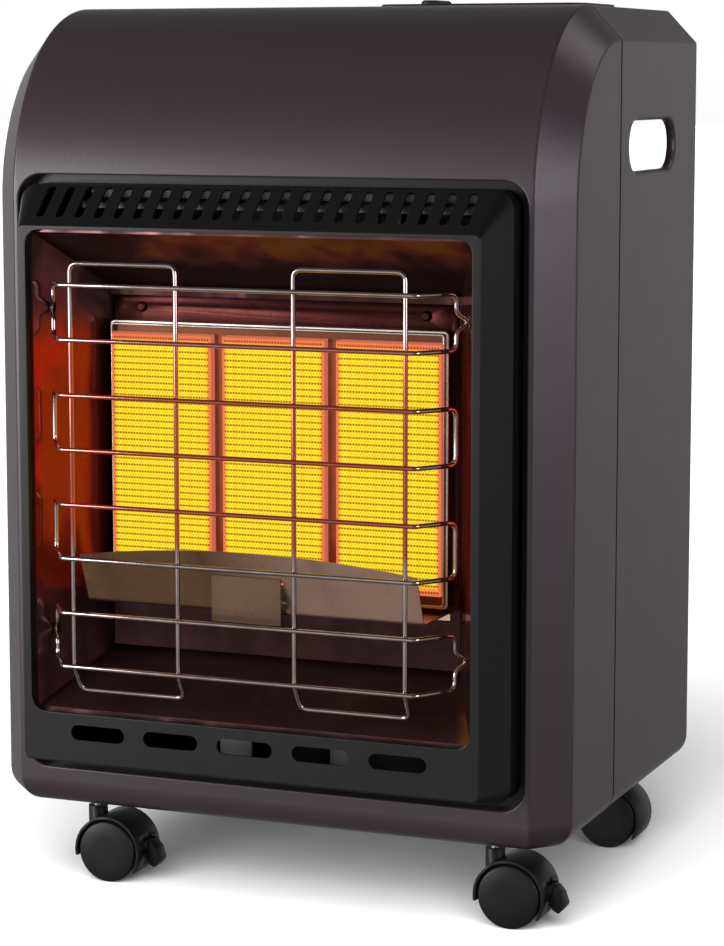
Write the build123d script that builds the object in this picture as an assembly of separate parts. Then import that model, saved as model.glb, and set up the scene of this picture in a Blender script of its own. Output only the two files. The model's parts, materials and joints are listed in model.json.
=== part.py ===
from build123d import *
import math
import os

# A free-standing cabinet gas heater on casters. Lengths are millimetres and angles are degrees. X runs to the
# right of someone who faces the heater, Y from its front to its back and Z up. The origin lies on the floor
# under the middle of the heater. "Depth" is measured back from the flat face of the front cover.

# ---------------------------------------------------------------- casing
width = 420.0
housing_depth = 301.0  # flat face to rear edge
housing_height = 554.5  # underside to top
floor_gap = 59.0  # floor to underside
sheet = 1.2  # casing steel
brow_run = 114.0  # depth of the curved brow, which ends at the seam
brow_rise = 132.3
brow_top_radius = 104.0  # of the upper of the brow's two arcs
corner_across = 22.0  # chamfer beside the face, measured across the heater
corner_deep = 23.4  # the same chamfer, measured square to the face
foot_radius = 19.0  # rounding all round the underside
foot_lip = 8.0  # flat lip turned in under the casing
skin_gap = 0.3  # how far the cabinet's skin lies inside the cover's
seam_groove = 1.5
seam_lap = 12.0  # how far the cabinet's tongue reaches into the cover
seat_gap = 0.3  # between pieces that seat on each other

# ---------------------------------------------------------------- hand holes
hand_length = 108.5
hand_height = 34.4
hand_depth = 192.5  # depth of the hole's middle
hand_drop = 94.8  # from the top down to the hole's middle
hand_lip = 6.0  # how far the edge is drawn inwards
hand_bend = 3.2
hand_land = 7.0  # flat ring drawn with the lip

# ---------------------------------------------------------------- black surround
surround_width = 355.4
surround_height = 400.0
surround_low = 34.5  # from the underside up to its lower edge
surround_corner = 13.0
surround_wall = 1.6
surround_reach = 36.0  # how far its front plane stands out of the face
rim_reach = 8.0  # how far its outer rim stands out of the face
side_bevel = 12.4
top_bevel = 26.7
bottom_bevel = 7.5
side_rail = 5.8  # front plane beside the mouth
top_rail = 2.6
bottom_rail = 34.5
mouth_corner = 11.0
mouth_lip = 6.0  # how far the mouth's edge is turned in
mouth_round = 1.4
recess_gap = 6.3  # groove round the surround
recess_corner = 17.0
cover_return = 12.0  # how far the recess edge is turned in
surround_flange = 6.0
vent_count = 22
vent_margin = 25.87  # from the surround's side to the middle of the first vent
vent_length = 28.8
vent_width = 6.0
vent_end = 1.8  # cut off each corner of a vent
vent_rise = 3.2  # how far the vents sit above the middle of the bevel
slot_count = 5
slot_margin = 68.3  # from the surround's side to the middle of the first slot
slot_length = 40.5
slot_height = 10.5
slot_end = 3.1  # cut off each corner of a slot
slot_drop = 13.2  # from the mouth's lower edge down to the slots' middle

# ---------------------------------------------------------------- reflector and baffle
reflector_wall = 1.0
reflector_inset = 2.0  # front edge of the taper inside the mouth
reflector_flange = 3.0
reflector_back_width = 257.0
reflector_back_height = 250.3
reflector_back_low = 113.0  # from the underside up to its back panel
back_depth = 29.0  # depth of the back panel's front
baffle_short = 49.7  # surround's left side to the baffle's left end
baffle_inset = 20.7  # the same on the right
baffle_depth = -12.0
baffle_height = 5.6
baffle_drop = 8.0  # rim's inside to the baffle's shelf
baffle_shelf = 14.0
baffle_seat = 9.0

# ---------------------------------------------------------------- burner
plaque_width = 75.2
plaque_height = 167.2
plaque_thick = 13.0
plaque_pitch = 83.3
plaque_low = 165.4  # from the underside up to a plaque's lower edge
frame_overlap = 0.6  # how far the frame covers a plaque's edge
frame_sheet = 1.0
frame_side = 122.2  # half the frame's width
frame_above = 7.6  # frame beyond the plaques, top
frame_below = 8.0
frame_depth = 15.0  # depth of the frame's front lip
frame_recess = 4.0  # lip to face plate
frame_flange_side = 5.3
frame_flange_top = 18.4
frame_flange_bottom = 4.0
box_wall = 1.2
box_depth = 29.0  # plenum behind a plaque
box_shoulder = 2.0  # ledge that carries the plaque's back edge
venturi_radius = 13.0
venturi_length = 92.0
venturi_mouth = 16.0
venturi_flare = 9.0
venturi_flats = 12
screw_radius = 1.5
screw_head = 3.5
screw_head_height = 2.2
screw_length = 6.0
screw_spread = 104.5  # half the distance between the two screws
screw_rise = 10.5  # frame's upper edge to the screws

# ---------------------------------------------------------------- gas line
manifold_size = 12.0
manifold_gap = 12.0  # manifold's top to the venturi mouths
manifold_foot = 24.0
injector_across = 9.0
injector_tip = 2.0
gas_tube_radius = 4.0
gas_tube_bend = 12.0
gas_tube_gap = 20.0  # tube's middle line in front of the heat shield
pilot_tube_radius = 2.0
pilot_tube_bend = 6.0
pilot_riser_bend = 4.0
pilot_tube_gap = 28.0
tube_clearance = 0.5

# ---------------------------------------------------------------- deflector and pilot
deflector_half = 122.0
deflector_sheet = 1.0
deflector_low = 152.7  # from the underside up to the tray's floor
deflector_fold = -20.5  # depth of the fold between floor and wall
deflector_lean = 17.0  # how far the wall leans forward over its height
deflector_rise = 43.0
deflector_arch = 9.5
deflector_bend = 4.0
deflector_flange = 5.5
shield_width = 50.0
shield_height = 31.0
shield_drop = 5.5  # how far the shield hangs below the tray's floor
shield_slit = 1.2
bracket_width = 66.0
bracket_height = 11.0
bracket_depth = -2.0
pilot_riser_depth = 10.5
pilot_radius = 4.0
pilot_length = 15.0
probe_radius = 1.6
probe_length = 26.0
electrode_radius = 2.6
electrode_length = 15.0
electrode_wire = 0.8
pilot_spread = 24.0

# ---------------------------------------------------------------- wire guard
wire_radius = 1.6
wire_flats = 6
bend_step = 32.0  # most that a wire turns from one flat to the next
weld_bite = 0.4  # how deep crossing wires are melted together
rail_reach = 51.2  # rails' centre line in front of the face
rail_inset = 14.4  # a rail's end inside the mouth's side
rail_corner = 18.0  # from the bend where a rail turns back to its end
rail_end_reach = 24.0
rail_height = 36.5
rail_pitch = 73.6
rail_low = 112.4  # from the underside up to the lowest rail
rail_loops = 4
rail_bend = 6.0
hook_out = 6.6
hook_back = 8.5
hook_half = 6.0
hook_bend = 2.5
upright_inset = 7.5  # outer wire inside the rail's bend
upright_width = 77.5
upright_low = 94.5
upright_high = 384.0
upright_kick = 10.0  # how far the lower ends are bent back
upright_kick_rise = 17.0

# ---------------------------------------------------------------- controls on top
panel_inset = 105.0  # casing's right side to the middle of the panel
panel_depth_at = 165.0
panel_width = 150.0
panel_deep = 84.0
panel_corner = 14.0
panel_proud = 2.0
well_wall = 2.0
well_margin = 5.0  # flange round the well
well_depth = 21.0
knob_offset = 43.0  # panel's middle to the knob's
knob_forward = 7.0
knob_radius = 21.0
knob_skirt = 6.0
knob_lift = 5.0  # clearance under the knob, for its travel
knob_grip_width = 13.0
knob_grip_length = 36.0
knob_proud = 5.0  # how far the grip stands above the casing
knob_travel = 4.0
stem_radius = 3.0
stem_flat = 0.8
running_gap = 0.05
igniter_offset = 25.0
igniter_radius = 9.5
igniter_length = 36.0
button_radius = 7.5
button_height = 9.0
button_stem = 3.0
button_travel = 5.0
valve_width = 34.0
valve_deep = 30.0
valve_height = 28.0
valve_neck = 11.0
valve_neck_height = 8.0
inlet_radius = 7.9
inlet_length = 22.0
inlet_hex = 9.5
inlet_hex_length = 9.0
inlet_bore = 3.0

# ---------------------------------------------------------------- floor, rear cover, heat shield
plate = 1.5
plate_corner = 14.0
shield_depth_at = 108.0
switch_size = (28.0, 22.0, 24.0)
switch_inset = 100.0  # casing's left side to the switch
switch_depth = 75.0
plate_back = 11.5  # rear edge of the base plate to the casing's
platform_rise = 10.0
platform_inset = 78.0  # casing's side to the platform's
platform_front = 8.0  # heat shield to the platform
platform_back = 20.0  # platform to the casing's rear edge
ledge_setback = 10.0
ledge_width = 12.0
rear_side_gap = 3.5
rear_height = 376.0
rear_corner = 18.0
louvre_columns = 2
louvre_rows = 7
louvre_length = 130.0
louvre_height = 8.0
louvre_pitch_x = 164.0
louvre_pitch_z = 34.0
louvre_low = 60.0
louvre_angle = 40.0
grip_length = 96.0
grip_height = 26.0
grip_drop = 32.0
hook_reach = 2.4
hook_plate = 18.0
hook_tongue = 10.0
hook_lift = 9.0
hook_levels = (60.0, 300.0)

# ---------------------------------------------------------------- casters
caster_inset = 60.0  # casing's side to the stem
caster_front = 42.0  # the same from the flat face
caster_back = 40.0  # the same from the rear edge
wheel_radius = 22.0
wheel_width = 13.4
wheel_chamfer = 1.0
wheel_gap = 0.5  # wheel to web, each side
web_thick = 7.6
hood_radius = 25.0
hood_wall = 1.8
hood_left = 191.0  # where the hood ends beside the stem
hood_right = -34.0  # where it ends on the trailing side
axle_radius = 3.0
axle_boss = 6.0
trail = 15.0
socket_radius = 6.8
socket_height = 51.0  # above the floor
ear_height = 53.5
ear_thick = 2.0
pin_radius = 3.2
pin_depth = 16.0
thread_radius = 4.0
collar_across = 15.0
collar_height = 1.8
nut_across = 13.0
nut_height = 6.5
pedal_half = 6.3
pedal_gap = 0.4
pedal_clear = 2.6  # pivot to the back of the slot it swings in
pedal_pivot = (24.9, 5.0)
pedal_pin = 1.2
lug_radius = 3.0
lug_thick = 2.2
pedal_travel = 14.0

# ---------------------------------------------------------------- worked out
guard_reach = rail_reach + wire_radius
face_y = (guard_reach - housing_depth) / 2
rear_y = face_y + housing_depth
top_z = floor_gap + housing_height
surround_z = floor_gap + surround_low + surround_height / 2
front_low = floor_gap + surround_low + bottom_bevel
front_high = floor_gap + surround_low + surround_height - top_bevel
front_width = surround_width - 2 * side_bevel
mouth_width = front_width - 2 * side_rail
mouth_low = front_low + bottom_rail
mouth_high = front_high - top_rail
mouth_height = mouth_high - mouth_low
mouth_z = (mouth_low + mouth_high) / 2
vent_pitch = (surround_width - 2 * vent_margin) / (vent_count - 1)
slot_pitch = (surround_width - 2 * slot_margin) / (slot_count - 1)
rail_end = mouth_width / 2 - rail_inset
rail_half = rail_end - rail_corner
upright_outer = rail_half - upright_inset
upright_inner = upright_outer - upright_width
recess_width = surround_width + 2 * recess_gap
recess_height = surround_height + 2 * recess_gap
plate_low = floor_gap + skin_gap + sheet
plate_high = plate_low + plate
frame_face = frame_depth + frame_recess
plaque_depth = frame_face + frame_sheet
plaque_z = floor_gap + plaque_low + plaque_height / 2
plaque_high = floor_gap + plaque_low + plaque_height
frame_low = floor_gap + plaque_low + frame_overlap - frame_below
frame_high = plaque_high - frame_overlap + frame_above
box_width = plaque_width + 2 * (seat_gap + box_wall)
box_height = plaque_height + 2 * (seat_gap + box_wall)
box_front = back_depth + seat_gap
box_rear = plaque_depth + plaque_thick + box_depth
venturi_depth = plaque_depth + plaque_thick + box_depth / 2
venturi_low = plaque_z - box_height / 2 - venturi_length
manifold_high = venturi_low - manifold_gap + manifold_size / 2
gas_tube_depth = shield_depth_at - gas_tube_gap
pilot_tube_depth = shield_depth_at - pilot_tube_gap
caster_x = width / 2 - caster_inset
caster_rear = housing_depth - caster_back
panel_x = width / 2 - panel_inset
knob_x = panel_x - knob_offset
knob_depth_at = panel_depth_at - knob_forward
igniter_x = panel_x + igniter_offset
skin_top = top_z - skin_gap
well_floor_under = skin_top - well_depth
well_floor = well_floor_under + well_wall
reflector_back_z = floor_gap + reflector_back_low + reflector_back_height / 2


def back(depth):
    """The Y of a plane that lies this deep behind the flat face."""
    return face_y + depth


def view(depth):
    """A drawing plane seen from the front: its x is X and its y is Z."""
    return Plane(origin=(0, back(depth), 0), x_dir=(1, 0, 0), z_dir=(0, -1, 0))


def slab(outline, front, rear):
    """A front-view outline made solid between two depths."""
    return extrude(view(front) * outline, amount=front - rear)


def rounded(wide, high, radius, x=0.0, z=0.0):
    return Pos(x, z) * RectangleRounded(wide, high, radius)


def block(xs, depths, zs):
    """A box between two Xs, two depths and two Zs."""
    middle = Pos(sum(xs) / 2, back(sum(depths) / 2), sum(zs) / 2)
    return middle * Box(xs[1] - xs[0], depths[1] - depths[0], zs[1] - zs[0])


def rod(radius, start, end):
    run = Vector(end) - Vector(start)
    return extrude(Plane(origin=start, z_dir=run) * Circle(radius), amount=run.length)


def flatted(radius, start, end, flats=8, outside=False):
    """A small bar with flats round it: its corners lie on the radius, or its flats where it is a hole."""
    run = Vector(end) - Vector(start)
    outline = RegularPolygon(radius, flats, major_radius=not outside)
    return extrude(Plane(origin=start, z_dir=run) * outline, amount=run.length)


def upright(radius, x, depth, low, high):
    """A round bar that stands on end."""
    return rod(radius, (x, back(depth), low), (x, back(depth), high))


def bend_points(before, corner, after, radius):
    """Short runs that follow the arc with which a wire turns a corner."""
    arrive = (corner - before).normalized()
    leave = (after - corner).normalized()
    turn = arrive.get_angle(leave)
    steps = math.ceil(turn / bend_step)
    reach = radius * math.tan(math.radians(turn / 2))
    centre = corner + (leave - arrive).normalized() * math.hypot(radius, reach)
    spoke = (corner - arrive * reach) - centre
    points = [centre + spoke]
    for i in range(1, steps + 1):
        angle = math.radians(turn * i / steps)
        points.append(centre + spoke * math.cos(angle) + arrive * (radius * math.sin(angle)))
    return points


def bent(radius, points, bends):
    """A wire or tube with flats round it and along its bends. Points are (x, depth, z)."""
    places = [Vector(x, back(depth), z) for x, depth, z in points]
    route = [places[0]]
    for before, corner, after, bend in zip(places, places[1:], places[2:], bends):
        route += bend_points(before, corner, after, bend)
    path = Polyline(*route, places[-1])
    ring = Rot(0, 0, 180 / wire_flats) * RegularPolygon(radius, wire_flats, major_radius=False)
    return sweep(Plane(origin=path @ 0, z_dir=path % 0) * ring, path=path, transition=Transition.RIGHT)


def folded(points, bend, thick, xs):
    """A folded strip of sheet: its middle line is (depth, z) points, and it runs between two Xs."""
    line = FilletPolyline(*[(back(depth), z) for depth, z in points], radius=bend)
    strip = Plane.YZ * trace(line, line_width=thick)
    return Pos(xs[0], 0, 0) * extrude(strip, amount=xs[1] - xs[0])


def tapered(side, plan):
    """The solid common to a side outline of (depth, z) points and a plan outline of (x, depth) points."""
    across = make_face(Polyline(*[(back(depth), z) for depth, z in side], close=True))
    down = make_face(Polyline(*[(x, back(depth)) for x, depth in plan], close=True))
    return extrude(Plane.YZ * across, amount=width, both=True) & extrude(down, amount=2 * top_z, both=True)


def save(shape, node):
    export_step(shape, f"parts/{node}.step")


# ---------------------------------------------------------------- casing pieces
def housing_form(inset, rear=rear_y):
    """The casing's outer form, moved inwards by inset all round and left whole at the back."""
    half = width / 2 - inset
    low = floor_gap + inset
    high = top_z - inset
    front = back(inset)
    brow_z = top_z - brow_rise
    seam = back(brow_run)
    drop = brow_rise - brow_top_radius
    lower_radius = (drop**2 + brow_run**2 - brow_top_radius**2) / (2 * (brow_run - brow_top_radius))
    lower_arc = math.degrees(math.atan2(drop, lower_radius - brow_run))
    upper_centre = (seam, top_z - brow_top_radius)
    profile = make_face(
        [
            Line((rear, high), (rear, low)),
            Line((rear, low), (front, low)),
            Line((front, low), (front, brow_z)),
            CenterArc((back(lower_radius), brow_z), lower_radius - inset, 180 - lower_arc, lower_arc),
            CenterArc(upper_centre, brow_top_radius - inset, 90, 90 - lower_arc),
            Line((seam, high), (rear, high)),
        ]
    )
    form = extrude(Plane.YZ * profile, amount=half, both=True)
    slope = math.hypot(corner_across, corner_deep)
    trim = inset * (corner_across + corner_deep - slope)
    across = corner_across - trim / corner_deep
    deep = corner_deep - trim / corner_across
    for end in (0, -1):
        side = form.faces().sort_by(Axis.X)[end]
        edges = [e for e in side.edges() if e.center().Z > low + 1 and e.center().Y < rear - 1]
        form = chamfer(edges, length=deep, length2=across, reference=side)
    base = form.faces().sort_by(Axis.Z)[0]
    edges = [e for e in base.edges() if e.center().Y < rear - 1]
    return fillet(edges, foot_radius - inset)


def behind(depth):
    """Everything that lies deeper than this."""
    return block((-width, width), (depth, housing_depth + width), (-width, top_z + width))


def floor_cut(rear_depth):
    """The opening inside the lip under the casing."""
    half = width / 2 - foot_radius - foot_lip
    front = foot_radius + foot_lip
    return block((-half, half), (front, rear_depth), (floor_gap - 1, plate_low + 0.01))


def make_front_cover():
    skin = housing_form(0) - housing_form(sheet, rear_y + 1) - behind(brow_run) - floor_cut(housing_depth)
    collar = rounded(recess_width + 2 * sheet, recess_height + 2 * sheet, recess_corner + sheet, z=surround_z)
    mouth = rounded(recess_width, recess_height, recess_corner, z=surround_z)
    turned = slab(collar, -1, cover_return) & housing_form(0)
    return skin + turned - slab(mouth, -1, cover_return + 1)


def drawn_hole(plane):
    """A hand hole drawn inwards from a sheet: the stadium to clear first, and the ring that fills it."""
    outer = (hand_length + 2 * hand_land, hand_height + 2 * hand_land)
    hole = (hand_length, hand_height)
    under = (hand_length + 2 * sheet, hand_height + 2 * sheet)
    solid = extrude(SlotOverall(*outer), amount=-hand_lip) - extrude(SlotOverall(*hole), amount=-hand_lip)
    mouth = solid.faces().sort_by(Axis.Z)[-1].inner_wires()[0]
    solid = chamfer(mouth.edges(), hand_bend)
    core = extrude(SlotOverall(*outer) - SlotOverall(*under), amount=-hand_lip)
    rim = core.faces().sort_by(Axis.Z)[-1].inner_wires()[0]
    core = chamfer(rim.edges(), hand_bend - sheet / 2)
    ring = solid - Pos(0, 0, -sheet) * core
    clear = extrude(SlotOverall(*outer), amount=sheet * 2, both=True)
    return plane * clear, plane * ring


def hook_xs(side):
    """The Xs between which the rear cover's hooks lie, on one side."""
    outer = width / 2 - skin_gap - sheet - rear_side_gap
    return sorted((side * outer, side * (outer - sheet)))


def make_cabinet_shell():
    inner = skin_gap + sheet
    skin = housing_form(skin_gap) - housing_form(inner, rear_y + 1)
    skin = skin & behind(brow_run + seam_groove)
    tongue = housing_form(inner) - housing_form(inner + sheet, rear_y + 1)
    tongue = tongue & behind(brow_run - seam_lap)
    tongue = tongue - behind(brow_run + seam_groove + sheet)
    flat = width / 2 - foot_radius + 0.5
    tongue -= block((-flat, flat), (0, housing_depth), (floor_gap, floor_gap + inner + sheet + 0.01))
    ledge_at = housing_depth - ledge_setback
    window = width / 2 - inner - ledge_width
    ledge = housing_form(inner) & behind(ledge_at)
    ledge -= behind(ledge_at + sheet)
    ledge -= block((-window, window), (0, housing_depth), (0, skin_top - sheet - ledge_width))
    shell = skin + tongue + ledge - floor_cut(housing_depth - foot_lip)
    for side in (-1, 1):
        wall = side * (width / 2 - skin_gap)
        centre = (wall, back(hand_depth), top_z - hand_drop)
        clear, ring = drawn_hole(Plane(origin=centre, x_dir=(0, 1, 0), z_dir=(side, 0, 0)))
        shell = shell - clear + ring
        low, high = hook_xs(side)
        for level in hook_levels:
            z = plate_high + level
            slot = (z - seat_gap, z + hook_plate + hook_lift)
            shell -= block((low - 0.6, high + 0.6), (ledge_at - 1, ledge_at + sheet + 1), slot)
    well = RectangleRounded(panel_width - 2 * well_margin + 1, panel_deep - 2 * well_margin + 1, panel_corner)
    hole = Pos(panel_x, back(panel_depth_at), skin_top) * extrude(well, amount=sheet * 2, both=True)
    return shell - hole


def make_base_plate():
    """The floor, pressed up in its middle into the platform that the cylinder stands on."""
    half = width / 2 - foot_radius - 1
    front = foot_radius + 1
    tray = block((-half, half), (front, housing_depth - plate_back), (plate_low, plate_high))
    tray = chamfer(tray.edges().filter_by(Axis.Z).sort_by(Axis.Y)[:2], plate_corner)
    side = width / 2 - platform_inset
    depths = (shield_depth_at + sheet + platform_front, housing_depth - platform_back)
    tray += block((-side, side), depths, (plate_high, plate_high + platform_rise))
    inner = (depths[0] + plate, depths[1] - plate)
    tray -= block((plate - side, side - plate), inner, (plate_low, plate_high + platform_rise - plate))
    for x, depth in caster_places():
        place = (x, back(depth))
        tray -= flatted(thread_radius + tube_clearance, (*place, plate_low - 1), (*place, plate_high + 1))
    return tray


def make_heat_shield():
    form = housing_form(skin_gap + 2 * sheet + seat_gap)
    wall = (form & behind(shield_depth_at)) - behind(shield_depth_at + sheet)
    wall -= block((-width, width), (0, housing_depth), (0, plate_high))
    main_z = valve_low() + valve_height / 2
    for x, radius, z in ((knob_x, gas_tube_radius, main_z), (pilot_tube_x(), pilot_tube_radius, pilot_outlet_z())):
        wall -= rod(radius + 1, (x, back(shield_depth_at - 5), z), (x, back(shield_depth_at + 5), z))
    return wall


def make_rear_cover():
    half = width / 2 - skin_gap - sheet - rear_side_gap
    low = plate_low + seat_gap
    middle = low + rear_height / 2
    front = housing_depth - ledge_setback + sheet + seat_gap
    rear = housing_depth - 0.5
    outline = rounded(2 * half, rear_height, rear_corner, z=middle)
    inside = rounded(2 * (half - sheet), rear_height - 2 * sheet, rear_corner - sheet, z=middle)
    cover = slab(outline, front, rear) - slab(inside, front - 1, rear - sheet)
    for column in range(louvre_columns):
        x = (column - (louvre_columns - 1) / 2) * louvre_pitch_x
        for row in range(louvre_rows):
            z = low + louvre_low + row * louvre_pitch_z
            xs = (x - louvre_length / 2, x + louvre_length / 2)
            cover -= block(xs, (rear - 2 * sheet, rear + 1), (z, z + louvre_height))
            drop = louvre_height / math.tan(math.radians(90 - louvre_angle))
            blade = [(rear - sheet / 2, z + louvre_height), (rear - sheet / 2 - drop, z)]
            cover += folded_blade(blade, xs)
    grip = Pos(0, low + rear_height - grip_drop) * SlotOverall(grip_length, grip_height)
    cover -= slab(grip, front, rear + 1)
    for side in (-1, 1):
        xs = hook_xs(side)
        for level in hook_levels:
            z = plate_high + level
            ledge_front = housing_depth - ledge_setback
            tongue = (ledge_front - seat_gap - hook_reach, front + 1)
            cover += block(xs, tongue, (z + hook_plate - hook_tongue, z + hook_plate))
            cover += block(xs, (tongue[0], ledge_front - seat_gap), (z, z + hook_plate))
    return cover


def folded_blade(points, xs):
    """A flat louvre blade that hangs inwards from the upper edge of its slot."""
    line = Line(*[(back(depth), z) for depth, z in points])
    return Pos(xs[0], 0, 0) * extrude(Plane.YZ * trace(line, line_width=sheet), amount=xs[1] - xs[0])


# ---------------------------------------------------------------- black surround and firebox
def surround_form(inset, rear):
    """The surround's outer form, moved inwards by inset all round."""
    across = surround_width / 2
    low = surround_z - surround_height / 2
    high = surround_z + surround_height / 2
    run = surround_reach - rim_reach
    front = inset - surround_reach

    def edge(rim, fall):
        """Where one bevel starts at the rim and where it ends at the front plane."""
        start = rim - inset
        slope = fall / run
        end = rim - fall - inset * math.hypot(1, slope) + inset * slope
        knee = -rim_reach + inset * (math.hypot(1, slope) - 1) / slope
        return start, end, knee

    top, nose_top, knee_top = edge(high, top_bevel)
    below, nose_below, knee_below = edge(-low, bottom_bevel)
    beside, nose_beside, knee_beside = edge(across, side_bevel)
    side = [
        (rear, top),
        (knee_top, top),
        (front, nose_top),
        (front, -nose_below),
        (knee_below, -below),
        (rear, -below),
    ]
    plan = [
        (beside, rear),
        (beside, knee_beside),
        (nose_beside, front),
        (-nose_beside, front),
        (-beside, knee_beside),
        (-beside, rear),
    ]
    size = (surround_width - 2 * inset, surround_height - 2 * inset)
    rim = rounded(*size, surround_corner - inset, z=surround_z)
    return tapered(side, plan) & slab(rim, front, rear)


def make_surround():
    wall = surround_wall
    flange = rounded(
        recess_width + 2 * surround_flange,
        recess_height + 2 * surround_flange,
        recess_corner + surround_flange,
        z=surround_z,
    )
    body = surround_form(0, cover_return + wall) + slab(flange, cover_return, cover_return + wall)
    body -= surround_form(wall, cover_return + 2 * wall)
    mouth = rounded(mouth_width, mouth_height, mouth_corner, z=mouth_z)
    lip = rounded(mouth_width + 2 * wall, mouth_height + 2 * wall, mouth_corner + wall, z=mouth_z)
    body += slab(lip, wall / 2 - surround_reach, mouth_lip - surround_reach)
    body -= slab(mouth, -surround_reach - 1, mouth_lip - surround_reach + 1)
    front = body.faces().sort_by(Axis.Y)[0]
    body = chamfer(front.inner_wires().sort_by(Axis.Z)[-1].edges(), mouth_round)
    bevel_run = surround_reach - rim_reach
    bevel_middle = (0, back(-surround_reach + bevel_run / 2), front_high + top_bevel / 2)
    bevel = Plane(origin=bevel_middle, x_dir=(1, 0, 0), z_dir=(0, -top_bevel, bevel_run))
    vent = chamfer(Rectangle(vent_width, vent_length).vertices(), vent_end)
    for i in range(vent_count):
        x = (i - (vent_count - 1) / 2) * vent_pitch
        body -= extrude(bevel * (Pos(x, vent_rise) * vent), amount=2 * wall, both=True)
    slot_z = mouth_low - slot_drop
    for i in range(slot_count):
        x = (i - (slot_count - 1) / 2) * slot_pitch
        slot = Pos(x, slot_z) * chamfer(Rectangle(slot_length, slot_height).vertices(), slot_end)
        body -= slab(slot, -surround_reach - 1, 2 * wall - surround_reach)
    return body


def make_vent_baffle():
    under_rim = surround_z + surround_height / 2 - surround_wall
    shelf = under_rim - baffle_drop
    seat = under_rim - seat_gap - frame_sheet / 2
    points = [
        (baffle_depth, shelf - baffle_height),
        (baffle_depth, shelf),
        (baffle_depth + baffle_shelf, shelf),
        (baffle_depth + baffle_shelf, seat),
        (baffle_depth + baffle_shelf + baffle_seat, seat),
    ]
    half = surround_width / 2
    return folded(points, 1.5, frame_sheet, (baffle_short - half, half - baffle_inset))


def reflector_form(extra, rear):
    """The firebox's tapering form, with its walls moved outwards by extra."""
    front = mouth_lip - surround_reach
    wide = mouth_width / 2 - reflector_inset + extra
    rear_wide = reflector_back_width / 2 + extra
    low = mouth_low + reflector_inset - extra
    high = mouth_high - reflector_inset + extra
    rear_low = floor_gap + reflector_back_low - extra
    rear_high = rear_low + reflector_back_height + 2 * extra
    side = [(front, low), (rear, rear_low), (rear, rear_high), (front, high)]
    plan = [(wide, front), (rear_wide, rear), (-rear_wide, rear), (-wide, front)]
    return tapered(side, plan)


def make_reflector():
    wall = reflector_wall
    front = mouth_lip - surround_reach
    flange = rounded(
        mouth_width + 2 * reflector_flange,
        mouth_height + 2 * reflector_flange,
        mouth_corner + reflector_flange,
        z=mouth_z,
    )
    body = reflector_form(wall, back_depth + wall) + slab(flange, front, front + wall)
    body -= reflector_form(0, back_depth)
    window_half = plaque_pitch + box_width / 2 + seat_gap
    window_zs = (plaque_z - box_height / 2 - seat_gap, plaque_z + box_height / 2 + seat_gap)
    body -= block((-window_half, window_half), (back_depth - 1, back_depth + 2 * wall), window_zs)
    for x, z in burner_screw_places():
        hole = screw_radius + 2 * running_gap
        body -= rod(hole, (x, back(back_depth - 1), z), (x, back(back_depth + 2), z))
    port = pilot_port()
    hole = pilot_tube_radius + tube_clearance
    body -= rod(hole, (port[0], back(back_depth - 1), port[1]), (port[0], back(back_depth + 2), port[1]))
    for z in hook_heights():
        for side in (-1, 1):
            x = side * (rail_end + hook_out - 1)
            depth = hook_back - rail_end_reach
            body -= block((x - 4, x + 5), (depth - 3.2, depth + 2.6), (z - 3.6, z + 3.6))
    return body


def burner_screw_places():
    return [(side * screw_spread, frame_high + screw_rise) for side in (-1, 1)]


def pilot_tube_x():
    """The X at which the pilot tube leaves the valve."""
    return knob_x - valve_width / 2 + 2 * pilot_tube_radius


def pilot_port():
    """The X and Z at which the pilot tube passes through the firebox's back."""
    return -pilot_spread, floor_gap + deflector_low - 3 * pilot_tube_bend + 4


# ---------------------------------------------------------------- burner
def make_burner_frame():
    low, high = frame_low, frame_high
    middle = (low + high) / 2
    tall = high - low
    outer = Pos(0, middle) * Rectangle(2 * frame_side, tall)
    inner = Pos(0, middle) * Rectangle(2 * (frame_side - frame_sheet), tall - 2 * frame_sheet)
    body = slab(outer, frame_depth, back_depth) - slab(inner, frame_depth - 1, back_depth + 1)
    body += slab(inner, frame_face, frame_face + frame_sheet)
    flange_low = low - frame_flange_bottom
    flange_high = high + frame_flange_top
    flange_half = frame_side + frame_flange_side
    flange = block((-flange_half, flange_half), (back_depth - frame_sheet, back_depth), (flange_low, flange_high))
    body += flange - slab(outer, frame_depth, back_depth + 1)
    for i in (-1, 0, 1):
        opening = Rectangle(plaque_width - 2 * frame_overlap, plaque_height - 2 * frame_overlap)
        body -= slab(Pos(i * plaque_pitch, plaque_z) * opening, frame_depth, frame_face + frame_sheet + 1)
    for x, z in burner_screw_places():
        hole = screw_radius + 2 * running_gap
        body -= rod(hole, (x, back(back_depth - 2), z), (x, back(back_depth + 1), z))
    return body


def make_plaque(x):
    outline = Pos(x, plaque_z) * Rectangle(plaque_width, plaque_height)
    return slab(outline, plaque_depth, plaque_depth + plaque_thick)


def funnel(inset, high):
    """A venturi tube's form, moved inwards by inset: a straight tube above a flared mouth."""
    throat = RegularPolygon(venturi_radius - inset, venturi_flats)
    mouth = RegularPolygon(venturi_mouth - inset, venturi_flats)
    bend = venturi_low + venturi_flare
    flare = loft([Pos(0, 0, venturi_low) * mouth, Pos(0, 0, bend) * throat])
    return flare + Pos(0, 0, bend) * extrude(throat, amount=high - bend)


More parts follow.
